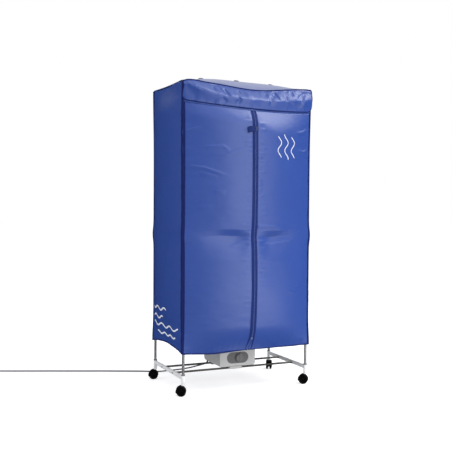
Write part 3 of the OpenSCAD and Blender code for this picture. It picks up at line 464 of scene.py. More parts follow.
def nylon(name, colour, other):
    """Coated nylon taffeta: a tight plain weave that takes a broad, soft shine.
    Its 0.3 mm threads are drawn 1.2 mm apart, so that they show from a step away."""
    made, tree, shader, at = surface(name, colour, 0.37, "UV", ior=1.5, specular=0.65)
    mottle(tree, shader, at, colour, other, 5.0)
    lumps = grained(tree, shader, at, 38.0, 2.0, 1.1 * MM, 0.35)
    bumped(tree, shader, woven(tree, at, 1.2 * MM), 0.12 * MM, 0.5, after=lumps)
    return made


def woven_tape(name, colour, other, pitch=0.8 * MM):
    """Woven polyester tape, as on zips and bindings: ribbed across and rather dull."""
    made, tree, shader, at = surface(name, colour, 0.7, "UV", ior=1.5, specular=0.2)
    mottle(tree, shader, at, colour, other, 30.0)
    bumped(tree, shader, woven(tree, at, pitch), 0.15 * MM, 0.6)
    return made


def print_ink(name, colour, other):
    """White screen-print ink: an opaque, slightly chalky skin that keeps the weave below it."""
    made, tree, shader, at = surface(name, colour, 0.6, "Object", ior=1.48)
    mottle(tree, shader, at, colour, other, 160.0)
    grained(tree, shader, at, 900.0, 1.0, 0.1 * MM, 0.4)
    return made


def moulded(name, colour, other, roughness, specular=0.5):
    """Injection-moulded plastic: an even colour with the fine grain of its tool.
    The 0.25 mm grain is drawn 1 mm apart, so that it shows."""
    made, tree, shader, at = surface(name, colour, roughness, "Object", ior=1.49, specular=specular)
    mottle(tree, shader, at, colour, other, 18.0)
    grained(tree, shader, at, 1000.0, 2.0, 0.03 * MM, 0.6)
    return made


def plated_tube(name, colour, other, roughness):
    """Bright zinc plate on drawn steel tube: faint streaks along the draw, soft cloudy shine."""
    made, tree, shader, at = surface(name, colour, roughness, "Object", metallic=0.9)
    drawn = add(tree, "ShaderNodeMapping", {"Vector": at, "Scale": (1, 1, 0.02)}).outputs[0]
    streaks = add(tree, "ShaderNodeTexNoise", {"Vector": drawn, "Scale": 700.0, "Detail": 3.0}).outputs[0]
    mottle(tree, shader, drawn, colour, other, 260.0)
    dull = add(tree, "ShaderNodeMapRange",
               {"Value": streaks, "To Min": roughness - 0.05, "To Max": roughness + 0.1})
    tree.links.new(dull.outputs[0], shader.inputs["Roughness"])
    bumped(tree, shader, streaks, 0.01 * MM, 0.4)
    return made


def rubber_sheath(name, colour, other):
    """Extruded PVC sheath: dull, with a faint drag along the run."""
    made, tree, shader, at = surface(name, colour, 0.55, "Object", ior=1.52)
    mottle(tree, shader, at, colour, other, 60.0)
    grained(tree, shader, at, 600.0, 2.0, 0.05 * MM, 0.4)
    return made


# ---------- the cover's form ----------

def across(x):
    """One in the middle of the front or the back, nought at the corner seams."""
    return np.clip(1 - (x / SEAM_X) ** 2, 0, 1)


def side_across(y):
    """The same for a side."""
    return np.clip(1 - (y / SEAM_Y) ** 2, 0, 1)


def corner_drop(away):
    """The top's seams round off over the frame's corner pieces."""
    return CORNER_DROP * (1 - ramp(away / CORNER_REACH)) ** 1.5


def sag(x, middle):
    return TOP_SAG * bell((x - middle) / SAG_REACH)


def hump(x):
    return HUMP * bell((x - HUMP_X) / HUMP_REACH)


def front_seam_z(x):
    return TOP_EDGE + hump(x) - sag(x, SAG_MIDDLE) - corner_drop(SEAM_X - np.abs(x))


def rear_seam_z(x):
    return TOP_EDGE - sag(x, 0) - corner_drop(SEAM_X - np.abs(x))


def side_seam_z(y):
    return TOP_EDGE - corner_drop(SEAM_Y - np.abs(y)) - SIDE_SEAM_DIP * side_across(y)


def seam_bow(z):
    """How far a corner seam lies inside its line: it runs over the pole between the hem,
    the sleeve at the joint and the corner piece, which push it out."""
    free = 1.0
    for support, reach in BOW_SUPPORTS:
        free = free * (1 - bell((z - support) / reach))
    return SEAM_BOW * free


def waist(x, z):
    """The band below the joint, drawn in a little and steepest at its head, where it faces down."""
    t = np.clip((z + FOLD_WAVE * np.sin(x / FOLD_WAVE_RUN + 0.6) - FOLD_FOOT) / FOLD, 0, 1)
    fade = ramp(np.abs(x) / FOLD_FROM_ZIP) * ramp((FOLD_END - np.abs(x)) / FOLD_FADE)
    fold = FOLD_IN * np.minimum(t / (1 - FOLD_HEAD), (1 - t) / FOLD_HEAD) * fade
    return (fold + WAIST_IN * bell((z - JOINT_Z) / WAIST_REACH)) * across(x) ** 0.8


def story(z):
    """The slack between the joint and either end of the poles swells a little by itself."""
    upper = np.sin(np.pi * np.clip((z - JOINT_Z) / (TOP_EDGE - JOINT_Z), 0, 1) ** 0.7)
    lower = np.sin(np.pi * np.clip((JOINT_Z - z) / (JOINT_Z - HEM_Z), 0, 1))
    return STORY_SWELL * (upper + lower)


def face_swell(x, z, seam_z):
    """How far the front or the back stands out from its seams' plane."""
    steep = 1 - (1 - np.clip((z - HEM_Z) / FRONT_FOOT, 0, 1)) ** 2
    foot = STEEP_SHARE * steep + (1 - STEEP_SHARE) * ramp((z - HEM_Z) / FRONT_BELLY)
    head = FRONT_HEAD + HEAD_GROWS * ramp((x - HEAD_FROM) / HEAD_OVER)
    plain = FRONT_SWELL * foot * ramp((seam_z - z) / head)
    return (plain + story(z)) * across(x) - waist(x, z)


def side_hem_z(y):
    return HEM_Z + HEM_ARCH * side_across(y)


def flap_low(x):
    return TOP_EDGE - FLAP_DROP - FLAP_TILT * x / SEAM_X - FLAP_DIP * across(x)


def door_hem_z(x):
    return HEM_Z - HEM_SAG * across(x) - HEM_LOW * bell((x - HEM_LOW_X) / HEM_LOW_REACH)


def door_top(x):
    return flap_low(x) - DOOR_DROP


# ---------- folds and creases ----------

def rough(seed, u, v):
    """Smooth noise between -1 and 1 with one swing about every unit of u and v."""
    table = np.random.default_rng(seed).uniform(-1, 1, (64, 64))
    iu, iv = np.floor(u).astype(int), np.floor(v).astype(int)
    fu, fv = ramp(u - iu), ramp(v - iv)
    at = lambda a, b: table[a % 64, b % 64]
    low = at(iu, iv) * (1 - fu) + at(iu + 1, iv) * fu
    high = at(iu, iv + 1) * (1 - fu) + at(iu + 1, iv + 1) * fu
    return low * (1 - fv) + high * fv


def puckers(seed, along, away, pitch, reach, height):
    """Small folds square to a seam, dying out within a reach of it. The last three are in mm."""
    pitch, reach = pitch * MM, reach * MM
    fade = np.exp(-(np.abs(away) / reach) ** 1.3)
    return height * MM * fade * (rough(seed, along / pitch, away / (reach * 2))
                                 + 0.5 * rough(seed + 1, along / (pitch * 0.45), away / reach))


def crease(s, t, line, width, height):
    """A pressed line through the given points, tapering at its ends: steep above and easy below."""
    made = np.zeros_like(s)
    lengths = [math.dist(a, b) for a, b in zip(line, line[1:])]
    total, gone = sum(lengths), 0.0
    nearest = np.full_like(s, np.inf)
    for (a, b), length in zip(zip(line, line[1:]), lengths):
        ux, uz = (b[0] - a[0]) / length, (b[1] - a[1]) / length
        run = np.clip((s - a[0]) * ux + (t - a[1]) * uz, 0, length)
        off_x, off_z = s - a[0] - run * ux, t - a[1] - run * uz
        off = np.hypot(off_x, off_z)
        spread = np.where(off_z > 0, width, 2.6 * width)
        taper = np.sin(np.pi * np.clip((gone + run) / total, 0.02, 0.98)) ** 0.7
        value = height * taper * bell(off / spread)
        nearer = off < nearest
        made[nearer] = value[nearer]
        nearest = np.minimum(nearest, off)
        gone += length
    return made


def creased(s, t, creases):
    """All the creases of a list: each one's points, its width and its height, in mm."""
    return sum(crease(s, t, np.array(line) * MM, width * MM, height * MM)
               for line, width, height in creases)


def zip_pulls():
    """Short creases that leave the zip on both its sides, where its tape has shrunk a little."""
    chance = np.random.default_rng(11)
    high, low, under = 1345, 400, 8
    pulls = []
    for side in (-1, 1):
        z = high
        while z > low:
            long = chance.uniform(22, 60)
            tilt = chance.uniform(-0.10, 0.16) * long
            start = side * (ZIP_W / MM / 2 - under)
            line = [(start, z), (start + side * 0.5 * long, z + 0.3 * tilt),
                    (start + side * (long + under), z + tilt)]
            width = chance.uniform(3.2, 4.8)
            height = chance.uniform(0.9, 2.3) * min(1, 0.35 + (z - low) / 500)
            pulls.append((line, width, height))
            z -= chance.uniform(17, 36)
    return pulls


# The front's creases, as x and z: those that its packing left, and the zip's
FRONT_CREASES = zip_pulls() + [
    ([(-338, 1265), (-306, 1276), (-266, 1286)], 3.72, 2),
    ([(-249, 1192), (-164, 1199), (-128, 1177)], 4.34, 3),
    ([(-226, 1152), (-152, 1159), (-74, 1184), (-28, 1198)], 4.34, 2.5),
    ([(-325, 1102), (-254, 1094), (-186, 1072), (-151, 1061)], 4.34, 3),
    ([(-276, 1070), (-186, 1049)], 5.58, 1.75),
    ([(245, 1277), (290, 1285), (325, 1301)], 4.34, 2.25),
    ([(263, 1193), (298, 1186), (335, 1203)], 3.72, 2.5),
    ([(-77, 822), (-3, 820), (86, 813), (178, 816)], 4.34, 3.5),
    ([(27, 731), (104, 724), (185, 734), (260, 742)], 4.96, 1.25),
    ([(-126, 715), (-70, 735), (-26, 744)], 4.96, 2.5),
    ([(238, 513), (307, 520)], 4.34, 2.25),
    ([(198, 491), (265, 477)], 4.34, 2),
    ([(282, 246), (312, 238)], 3.72, 2),
    ([(-290, 905), (-210, 915)], 6.2, 1.25),
    ([(-210, 985), (-150, 978)], 6.2, 1.25),
]
# The flap's gathers, of which those drawn in are negative
FLAP_CREASES = [
    ([(-201, 1484), (-197, 1472), (-186, 1462)], 4.5, -3.5),
    ([(-178, 1484), (-156, 1466), (-142, 1443)], 4.5, -4),
    ([(-145, 1478), (-136, 1457), (-124, 1436)], 5, -5.5),
    ([(-72, 1472), (-59, 1455)], 4.5, -3),
    ([(-168, 1433), (-155, 1420), (-136, 1408)], 7, -4),
    ([(-82, 1440), (-75, 1426), (-82, 1414), (-98, 1410)], 5.5, -5),
    ([(-235, 1401), (-210, 1406), (-180, 1416)], 6, -3),
    ([(-336, 1494), (-314, 1475), (-261, 1455)], 8, 3.5),
    ([(-345, 1480), (-320, 1462), (-270, 1444)], 9, -5),
    ([(-40, 1466), (5, 1446)], 6, 2.5),
    ([(75, 1466), (90, 1449)], 5, -3),
    ([(131, 1478), (124, 1462), (116, 1447)], 5, -5.5),
    ([(110, 1455), (100, 1432), (97, 1404)], 7, -5.5),
    ([(136, 1474), (144, 1452), (153, 1434)], 4.5, -4),
    ([(190, 1462), (188, 1430)], 4.5, -3.5),
    ([(224, 1486), (231, 1474), (238, 1460)], 4.5, -4),
    ([(322, 1492), (281, 1466), (252, 1445)], 9, -5.5),
    ([(318, 1478), (298, 1435), (282, 1400)], 10, 5),
    ([(200, 1425), (240, 1410), (275, 1412)], 10, -3.5),
    ([(-10, 1438), (20, 1420), (70, 1414)], 9, -3),
]


def front_detail(x, z):
    """Folds on the front's two halves, in metres outwards. The strip under the zip stays flat."""
    made = creased(x, z, FRONT_CREASES)
    made += puckers(23, z, SEAM_X - np.abs(x), 28, 45, 1.1)
    made += puckers(31, x, z - HEM_Z, 30, 40, 1.2)
    made += 2.2 * MM * rough(41, x / 0.13, z / 0.19) * across(x)
    made += 0.35 * MM * rough(43, x / 0.05, z / 0.022)
    return made * ramp((np.abs(x) - ZIP_W / 2 + 1.5 * MM) / (6 * MM))


def side_detail(side, y, z):
    seed = 70 + 10 * side
    made = puckers(seed, z, SEAM_Y - np.abs(y), 30, 45, 1.2)
    made += puckers(seed + 4, y, z - side_hem_z(y), 32, 40, 1.4)
    made += puckers(seed + 8, y, TOP_EDGE - z, 26, 50, 1.4)
    made += 2.2 * MM * rough(seed + 12, y / 0.11, z / 0.23)
    made += 0.4 * MM * rough(seed + 13, y / 0.05, z / 0.03)
    return made - WAIST_IN * bell((z - JOINT_Z) / (40 * MM)) * side_across(y)


def push_out(points, amount):
    """Moves a grid of points along its own normals."""
    normal = unit(np.cross(np.gradient(points, axis=1), np.gradient(points, axis=0)))
    return points + normal * amount[..., None]


def front_points(x_share, z_low, z_high, rows):
    """A grid on the front: x as shares of the half width, z between two curves of x."""
    v = np.linspace(0, 1, rows)[:, None]
    s = np.asarray(x_share)[None, :] * np.ones_like(v)
    flat_x = s * SEAM_X
    z = z_low(flat_x) + (z_high(flat_x) - z_low(flat_x)) * v
    bow = seam_bow(z)
    x = s * (SEAM_X - bow)
    y = -(SEAM_Y + face_swell(flat_x, z, front_seam_z(flat_x)) - bow * (1 - across(flat_x)))
    return np.stack([x, y, z], axis=2), flat_x, z


def bound_panel(name, points, uv, cloth, tape, body, node, inset=0):
    """A panel of the cover with its hem: a sheet held by its seams, which rests on the poles."""
    panel = cloth_panel(name, points, *uv)
    dress(panel, cloth, body, (node,), CLOTH)
    edge, inner = (row[inset:len(row) - inset] for row in points[:2])
    hem = binding_on(name.replace("cloth", "hem"), edge, inner, HEM_TAPE, tape, body)
    return panel


def make_door(side, cloth, tape):
    """One half of the front, from its corner seam to the middle."""
    name = SIDES[side]
    share = side * np.linspace(0.003, 1, round(SEAM_X / DOOR_STEP))[::side]
    points, x, z = front_points(share, door_hem_z, door_top, round(DOOR_HIGH / DOOR_STEP))
    points = push_out(points, front_detail(x, z))
    return bound_panel(f"door_cloth_{name}", points, (x, z), cloth, tape, f"{name}_door",
                       f"door_{name}")


def make_header(cloth):
    """The strip above the doors, behind the flap."""
    shares = np.linspace(-1, 1, 121)
    points, x, z = front_points(shares, lambda v: door_top(v) + 0.4 * MM, front_seam_z, 18)
    header = cloth_panel("header_cloth", points, x, z)
    dress(header, cloth, "cabinet", ("cover_header",), CLOTH)


def side_points(side, shares, rows):
    """A grid on a side: y as shares of the half depth, seen from outside."""
    s = np.asarray(shares)[None, :] * np.ones((rows, 1))
    y = s * SEAM_Y
    low = side_hem_z(y)
    z = low + (side_seam_z(y) - low) * np.linspace(0, 1, rows)[:, None]
    bow = seam_bow(z)
    crown = 1 - s ** 2
    swell = SIDE_SWELL * crown * ramp((z - low) / SIDE_FOOT) * ramp((TOP_EDGE - z) / SIDE_HEAD)
    x = side * (SEAM_X + swell - bow * (1 - crown))
    return np.stack([x, s * (SEAM_Y - bow) * side, z], axis=2), y, z


def make_side(side, cloth, tape):
    name = SIDES[side]
    points, y, z = side_points(side, np.linspace(-1, 1, 80), 240)
    points = push_out(points, side_detail(side, y, z))
    return bound_panel(f"side_cloth_{name}", points, (y, z), cloth, tape, "cabinet",
                       f"cover_{name}", inset=1)


def make_back(cloth, tape):
    rows, cols = 200, 108
    s = np.linspace(1, -1, cols)[None, :] * np.ones((rows, 1))
    x = s * SEAM_X
    top = rear_seam_z(x)
    z = HEM_Z + (top - HEM_Z) * np.linspace(0, 1, rows)[:, None]
    bow = seam_bow(z)
    y = SEAM_Y + face_swell(x, z, top) - bow * (1 - across(x))
    folds = puckers(101, z, SEAM_X - np.abs(x), 30, 45, 1.2)
    folds += puckers(105, x, z - HEM_Z, 32, 40, 1.4)
    folds += puckers(109, x, top - z, 26, 50, 1.6)
    folds += 2.4 * MM * rough(113, x / 0.14, z / 0.2) + 0.4 * MM * rough(114, x / 0.05, z / 0.03)
    points = push_out(np.stack([s * (SEAM_X - bow), y, z], axis=2), folds)
    bound_panel("back_cloth", points, (-x, z), cloth, tape, "cabinet", "cover_back")


def top_z(x, y):
    """The top's height: its rim follows the four seams, and the air lifts its middle."""
    rear = (y / SEAM_Y + 1) / 2
    rim = TOP_EDGE - sag(x, SAG_MIDDLE) * (1 - rear) - sag(x, 0) * rear
    rim -= corner_drop(np.maximum(SEAM_X - np.abs(x), SEAM_Y - np.abs(y)))
    rim -= SIDE_SEAM_DIP * side_across(y) * (1 - across(x)) ** 4
    rim += hump(x) * (1 - rear) ** 4
    return rim + TOP_SWELL * across(x) * side_across(y) ** 0.8


def make_top(cloth):
    rows, cols = 80, 130
    y = -np.cos(np.pi * np.linspace(0, 1, rows))[:, None] * SEAM_Y * np.ones((1, cols))
    x = -np.cos(np.pi * np.linspace(0, 1, cols))[None, :] * SEAM_X * np.ones((rows, 1))
    in_x, in_y = SEAM_X - np.abs(x), SEAM_Y - np.abs(y)
    folds = puckers(131, x, in_y, 24, 45, 1.3) + puckers(135, y, in_x, 24, 60, 1.6)
    folds += 1.2 * MM * rough(139, x / 0.12, y / 0.12)
    folds *= ramp(np.minimum(in_x, in_y) / (20 * MM))
    points = push_out(np.stack([x, y, top_z(x, y)], axis=2), folds)
    panel = cloth_panel("top_cloth", points, x, y)
    dress(panel, cloth, "cabinet", ("cover_top",), CLOTH)


def flap_hem(x):
    """The flap's lower edge, with its two corners cut round."""
    low = flap_low(x)
    for out, corner in ((x, FLAP_CORNER), (-x, FLAP_NEAR_CORNER)):
        cut = np.clip((out - FLAP_EDGE) / corner + 1, 0, 1)
        low = low + corner * (1 - np.sqrt(1 - cut ** 2))
    return low


def make_flap(cloth, tape, thread_tree):
    """The flap rolls out over the header's swell, is fullest at its crest and turns in to its hem."""
    rows, cols = 64, 300
    x = np.linspace(-FLAP_EDGE, FLAP_EDGE, cols)[None, :] * np.ones((rows, 1))
    s = np.linspace(1, 0, rows)[:, None] * np.ones((1, cols))
    top = front_seam_z(x) - 1.5 * MM
    z = top + (flap_hem(x) - top) * s
    crest = CREST - CREST_LEFT * (1 - ramp((x + FLAP_EDGE) / CREST_RUN))
    crest -= CREST_RIGHT * ramp((x - CREST_RIGHT_FROM) / CREST_RUN)
    hem_out = face_swell(x, flap_hem(x), front_seam_z(x)) + PIPING_R + FLAP_CLEAR
    full = hem_out + FLAP_ROLL * (0.5 + 0.5 * across(x) ** 0.5)
    full += FLAP_PUFF * bell((x + FLAP_EDGE - PUFF_IN) / PUFF_REACH)
    climb = np.clip(s / crest, 0, 1)
    out = full * (climb - ROUNDING * climb ** 6) / (1 - ROUNDING)
    out -= (full - hem_out) * ramp((s - crest) / (1 - crest)) ** 0.8
    fallen, left = s * FLAP_HIGH, (1 - s) * FLAP_HIGH
    folds = puckers(151, x, fallen, 20, 40, 1.8) + puckers(155, x, left, 30, 22, 1.6)
    folds += 1.6 * MM * rough(159, x / 0.06, s * 2.0) + creased(x, z, FLAP_CREASES)
    points = push_out(np.stack([x, -(SEAM_Y + out), z], axis=2), folds * ramp(s / 0.1))
    over_piping = SEAM_Y + (PIPING_R + 0.8 * MM) * ramp(s / 0.08)
    points[..., 1] = np.minimum(points[..., 1], -over_piping)
    flap = cloth_panel("flap_cloth", points, x, z)
    dress(flap, cloth, None, ("front_flap",), CLOTH)
    stitched = [points[3] - [0, 1.0 * MM, 0], points[-6, 6:-6] - [0, 1.2 * MM, 0]]
    bound = [binding_on("flap_hem", points[0], points[1], 3.5 * MM, tape, None),
             # The left end's binding is 8 mm wide against 4.5 mm at the right: the extra width is painted shade
             # of the dark corner.
             binding_on("flap_end_left", points[::-1, 0], points[::-1, 1], 8 * MM, tape, None),
             binding_on("flap_end_right", points[:, -1], points[:, -2], 4.5 * MM, tape, None),
             stitch_rows("flap_stitches", stitched, thread_tree, None)]
    for piece in [flap] + bound:
        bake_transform(piece)


# ---------- piping, bindings and zip ----------

def tube_mesh(name, path, radius, sides=10):
    """A round tube along a path, capped at both ends."""
    ahead = unit(np.gradient(path, axis=0))
    help_axis = np.where(np.abs(ahead[:, 2:]) > 0.9, [[0.0, 1.0, 0.0]], [[0.0, 0.0, 1.0]])
    side = unit(np.cross(help_axis, ahead))
    above = np.cross(ahead, side)
    angle = 2 * np.pi * np.arange(sides) / sides
    rings = path[:, None] + radius * (np.cos(angle)[None, :, None] * side[:, None]
                                      + np.sin(angle)[None, :, None] * above[:, None])
    uv = np.stack(np.broadcast_arrays(run_length(path)[:, None], radius * angle[None, :]), axis=2)
    count = len(path) * sides
    faces = grid_faces(len(path), sides, ring=True)
    faces += [tuple(range(sides))[::-1], tuple(range(count - sides, count))]
    return mesh_object(name, rings.reshape(-1, 3), faces, uv.reshape(-1, 2))


def make_piping(tape):
    z = np.linspace(HEM_Z, TOP_EDGE - CORNER_DROP + 1.5 * MM, 150)
    y = np.linspace(-SEAM_Y, SEAM_Y, 60)
    x = np.linspace(-SEAM_X, SEAM_X, 120)
    in_x, in_y = SEAM_X - seam_bow(z), SEAM_Y - seam_bow(z)
    paths = [(sx * in_x, sy * in_y, z) for sx in SIDES for sy in (-1, 1)]
    paths += [(side * SEAM_X + 0 * y, y, side_seam_z(y)) for side in SIDES]
    paths += [(x, -SEAM_Y + 0 * x, front_seam_z(x)), (x, SEAM_Y + 0 * x, rear_seam_z(x))]
    seams = [tube_mesh("seam", np.stack(path, axis=1), PIPING_R) for path in paths]
    dress(joined("piping", seams), tape, "cabinet", ("cover_piping",))


def binding_on(name, edge, inner, width, tape, body):
    """A folded tape that binds a cloth's edge, given with the next row of its grid."""
    up = unit(inner - edge)
    out = np.cross(unit(np.gradient(edge, axis=0)), up)
    half = CLOTH / 2 + 0.35 * MM
    section = [(width, -half), (0.3 * width, -half), (-0.4 * MM, -0.6 * half),
               (-0.4 * MM, 0.6 * half), (0.3 * width, half), (width, half)]
    rings = np.stack([edge + up * a + out * b for a, b in section], axis=1)
    round_it = np.arange(len(section)) * width / 3
    strip = cloth_panel(name, rings, run_length(edge)[:, None], round_it[None, :])
    return dress(strip, tape, body, thickness=0.4 * MM)


def beside_seam(side, width, half):
    """Shares of a half width, over a tape's width beside the seam on that side."""
    return np.sort(side * np.linspace(1 - width / half, 1 - BAND_GAP / half, 5))


def lay_shade_band(name, points, folds, uv, side, outward, tape, thread_tree, body):
    """A dark tape beside a seam, as painted shade, with a row of stitches near the edge that is away from the
    seam.
    """
    points = push_out(points, folds + 0.9 * MM)
    band = cloth_panel(name.format("band"), points, *uv)
    dress(band, tape, body, thickness=0.5 * MM)
    row = points[:, 1 if side > 0 else -2] + 0.6 * MM * np.array(outward)
    stitch_rows(name.format("stitches"), [row], thread_tree, body)


def make_corner_shade_bands(tape, thread_tree):
    """Dark tapes along the corner seams, which paint the shade where the cloth dips beside them:
    one on each door's outer edge, and one beside it and beside the rear corners on each side."""
    for side, name in SIDES.items():
        shares = beside_seam(side, FRONT_BAND, SEAM_X)
        points, x, z = front_points(shares, door_hem_z, door_top, 260)
        lay_shade_band(f"corner_{{}}_{name}", points, front_detail(x, z), (x, z), side, (0, -1, 0),
                 tape, thread_tree, f"{name}_door")
        for end, where in ((-1, "front"), (1, "rear")):
            points, y, z = side_points(side, beside_seam(end * side, SIDE_BAND, SEAM_Y), 260)
            lay_shade_band(f"side_{{}}_{name}_{where}", points, side_detail(side, y, z), (y, z),
                     end * side, (side, 0, 0), tape, thread_tree, "cabinet")


STITCH = {"Pitch": 4.2 * MM, "Long": 2.6 * MM, "Wide": 0.7 * MM, "High": 0.5 * MM}


def geometry_tree(name, sizes):
    """An empty tree with a mesh in, a mesh out and a named input for each size."""
    tree = bpy.data.node_groups.new(name, "GeometryNodeTree")
    tree.interface.new_socket("Geometry", in_out="INPUT", socket_type="NodeSocketGeometry")
    for label, value in sizes.items():
        socket = tree.interface.new_socket(label, in_out="INPUT", socket_type="NodeSocketFloat")
        socket.default_value = value
    tree.interface.new_socket("Geometry", in_out="OUTPUT", socket_type="NodeSocketGeometry")
    return tree, add(tree, "NodeGroupInput"), add(tree, "NodeGroupOutput")


def beads_tree(name, material):
    """Small rounded beads, such as stitches or zip teeth, in a row along each path."""
    tree, given, result = geometry_tree(name, {"Pitch": 4 * MM, "Long": 3 * MM, "Wide": 1 * MM, "High": 1 * MM})
    path = add(tree, "GeometryNodeMeshToCurve", {"Mesh": given.outputs[0]})
    spots = add(tree, "GeometryNodeCurveToPoints", {"Curve": path.outputs[0], "Length": given.outputs["Pitch"]},
                mode="LENGTH")
    ball = add(tree, "GeometryNodeMeshUVSphere", {"Segments": 6, "Rings": 4, "Radius": 0.5})
    size = add(tree, "ShaderNodeCombineXYZ", {"X": given.outputs["Wide"], "Y": given.outputs["High"],
                                              "Z": given.outputs["Long"]})
    laid = add(tree, "GeometryNodeInstanceOnPoints", {
        "Points": spots.outputs["Points"], "Instance": ball.outputs["Mesh"],
        "Rotation": spots.outputs["Rotation"], "Scale": size.outputs[0]})
    real = add(tree, "GeometryNodeRealizeInstances", {"Geometry": laid.outputs[0]})
    smooth = add(tree, "GeometryNodeSetShadeSmooth", {"Geometry": real.outputs[0]})
    done = add(tree, "GeometryNodeSetMaterial", {"Geometry": smooth.outputs[0], "Material": material})
    tree.links.new(done.outputs[0], result.inputs[0])
    return tree


def grown(name, base, tree, sizes):
    """The mesh that a tree makes from a base object, as an object of its own."""
    modifier = base.modifiers.new("grow", "NODES")
    modifier.node_group = tree
    for item in tree.interface.items_tree:
        if item.item_type == "SOCKET" and item.in_out == "INPUT" and item.name in sizes:
            modifier[item.identifier] = sizes[item.name]
    bpy.context.view_layer.update()
    made = bpy.data.meshes.new_from_object(base.evaluated_get(bpy.context.evaluated_depsgraph_get()))
    made.name = name
    base.modifiers.clear()
    bpy.data.objects.remove(base)
    return placed(name, made)


def path_mesh(paths):
    """Loose edges along the given paths, as the base that a tree grows on."""
    points, edges = [], []
    for path in paths:
        first = len(points)
        points += [tuple(p) for p in path]
        edges += [(first + i, first + i + 1) for i in range(len(path) - 1)]
    mesh = bpy.data.meshes.new("paths")
    mesh.from_pydata(points, edges, [])
    return placed("paths", mesh)


def stitch_rows(name, paths, tree, body):
    """Stitches along the given paths, on their body if one is given."""
    rows = grown(name, path_mesh(paths), tree, STITCH)
    if body:
        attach(rows, body)
    return rows


def front_at(x, z, stand):
    """A point on the front's plain swell, a little way out from the cloth."""
    x, z = np.broadcast_arrays(np.asarray(x, float), np.asarray(z, float))
    step = 0.5 * MM
    swell = lambda a, b: SEAM_Y + face_swell(a, b, front_seam_z(a))
    slope_x = (swell(x + step, z) - swell(x - step, z)) / (2 * step)
    slope_z = (swell(x, z + step) - swell(x, z - step)) / (2 * step)
    away = stand / np.sqrt(1 + slope_x ** 2 + slope_z ** 2)
    return np.stack([x - away * slope_x, -swell(x, z) - away, z - away * slope_z], axis=-1)


def zip_strip(name, inner, outer, stand, low, top, splay=0.0):
    """A flat strip down the front from one x to another, splayed aside below the zip's end."""
    z = np.linspace(low, top, 260)[:, None] * np.ones((1, 5))
    parting = ZIP_END + 4 * MM
    apart = np.clip((parting - z) / (parting - ZIP_LOW), 0, 1) ** 0.8
    x = np.linspace(inner, outer, 5)[None, :] + apart * np.linspace(2.0 * splay, 0.6 * splay, 5)
    if inner > outer:
        x = x[:, ::-1]
    return cloth_panel(name, front_at(x, z, stand), x, z)


def make_zip(tape, coil, teeth_tree, thread_tree, placket):
    top = float(door_top(0)) - 2 * MM
    for side, name in SIDES.items():
        half = zip_strip(f"zip_tape_cloth_{name}", side * (COIL_HALF - 0.6 * MM),
                         side * ZIP_W / 2, TAPE_STAND, ZIP_LOW, top, splay=side * 5 * MM)
        dress(half, tape, f"{name}_door", (f"zip_tape_{name}",), 0.8 * MM)
    behind = zip_strip("zip_placket", -10 * MM, 10 * MM, -1.2 * MM, ZIP_LOW - 3 * MM, top)
    dress(behind, placket, "left_door", thickness=0.6 * MM)
    rows = []
    for side in SIDES:
        z = np.arange(ZIP_END + 8 * MM + (side > 0) * TEETH_PITCH / 2, top, 2 * MM)
        rows.append(front_at(side * 1.7 * MM, z, TAPE_STAND + 1.0 * MM))
    sizes = {"Pitch": TEETH_PITCH, "Long": 2.0 * MM, "Wide": 5.6 * MM, "High": 2.0 * MM}
    teeth = grown("zip_teeth", path_mesh(rows), teeth_tree, sizes)
    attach(teeth, "left_door")
    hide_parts("zip_coil")
    z = np.arange(ZIP_END + 10 * MM, top, 4 * MM)
    for side, name in SIDES.items():
        row = front_at(side * (ZIP_W / 2 - 1.6 * MM), z, TAPE_STAND + 0.7 * MM)
        stitch_rows(f"zip_stitches_{name}", [row], thread_tree, f"{name}_door")
    z = ZIP_END + np.array([-3, -1, 1, 3, 5]) * MM
    stop = tube_mesh("zip_bottom_stop", front_at(0 * z, z, TAPE_STAND + 0.5 * MM), 5 * MM, 12)
    dress(stop, coil, "left_door")


def make_pull(tape):
    """The slider's pull: a loop of soft tape that hangs out to the left."""
    low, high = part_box("zip_pull")
    cols, rows = 22, 12
    u = np.linspace(0, 1, cols)[None, :] * np.ones((rows, 1))
    v = np.linspace(-1, 1, rows)[:, None] * np.ones((1, cols))
    x = low.x - 2 * MM + (high.x - low.x) * u
    tip = np.sqrt(1 - 0.6 * np.clip(1 - u / 0.16, 0, 1) ** 2)
    half = (9.5 + 6.5 * (1 - u) ** 0.7) * MM * tip
    z = (low.z + high.z) / 2 - 7 * MM * (1 - u) ** 1.4 + v * half
    stand = 3.2 * MM + 4.5 * MM * np.sin(np.pi * (1 - u) ** 0.8) * (1 - 0.4 * v ** 2)
    stand += 1.2 * MM * rough(7, u * 5, v * 2.5)
    # The front swells more lower down, where the slider passes; the end at the slider clears the teeth.
    clear = 2.6 * MM + 2 * MM * ramp((u - 0.6) / 0.25)
    front = cloth_panel("pull_front", front_at(x, z, stand + clear), x, z)
    under = front_at(x, z, 0.35 * stand + 0.9 * MM + clear)
    back = cloth_panel("pull_back", under[:, ::-1], x[:, ::-1], z[:, ::-1])
    pull = joined("zip_pull_tape", [front, back])
    dress(pull, tape, "slider", ("zip_pull",), 1.1 * MM)


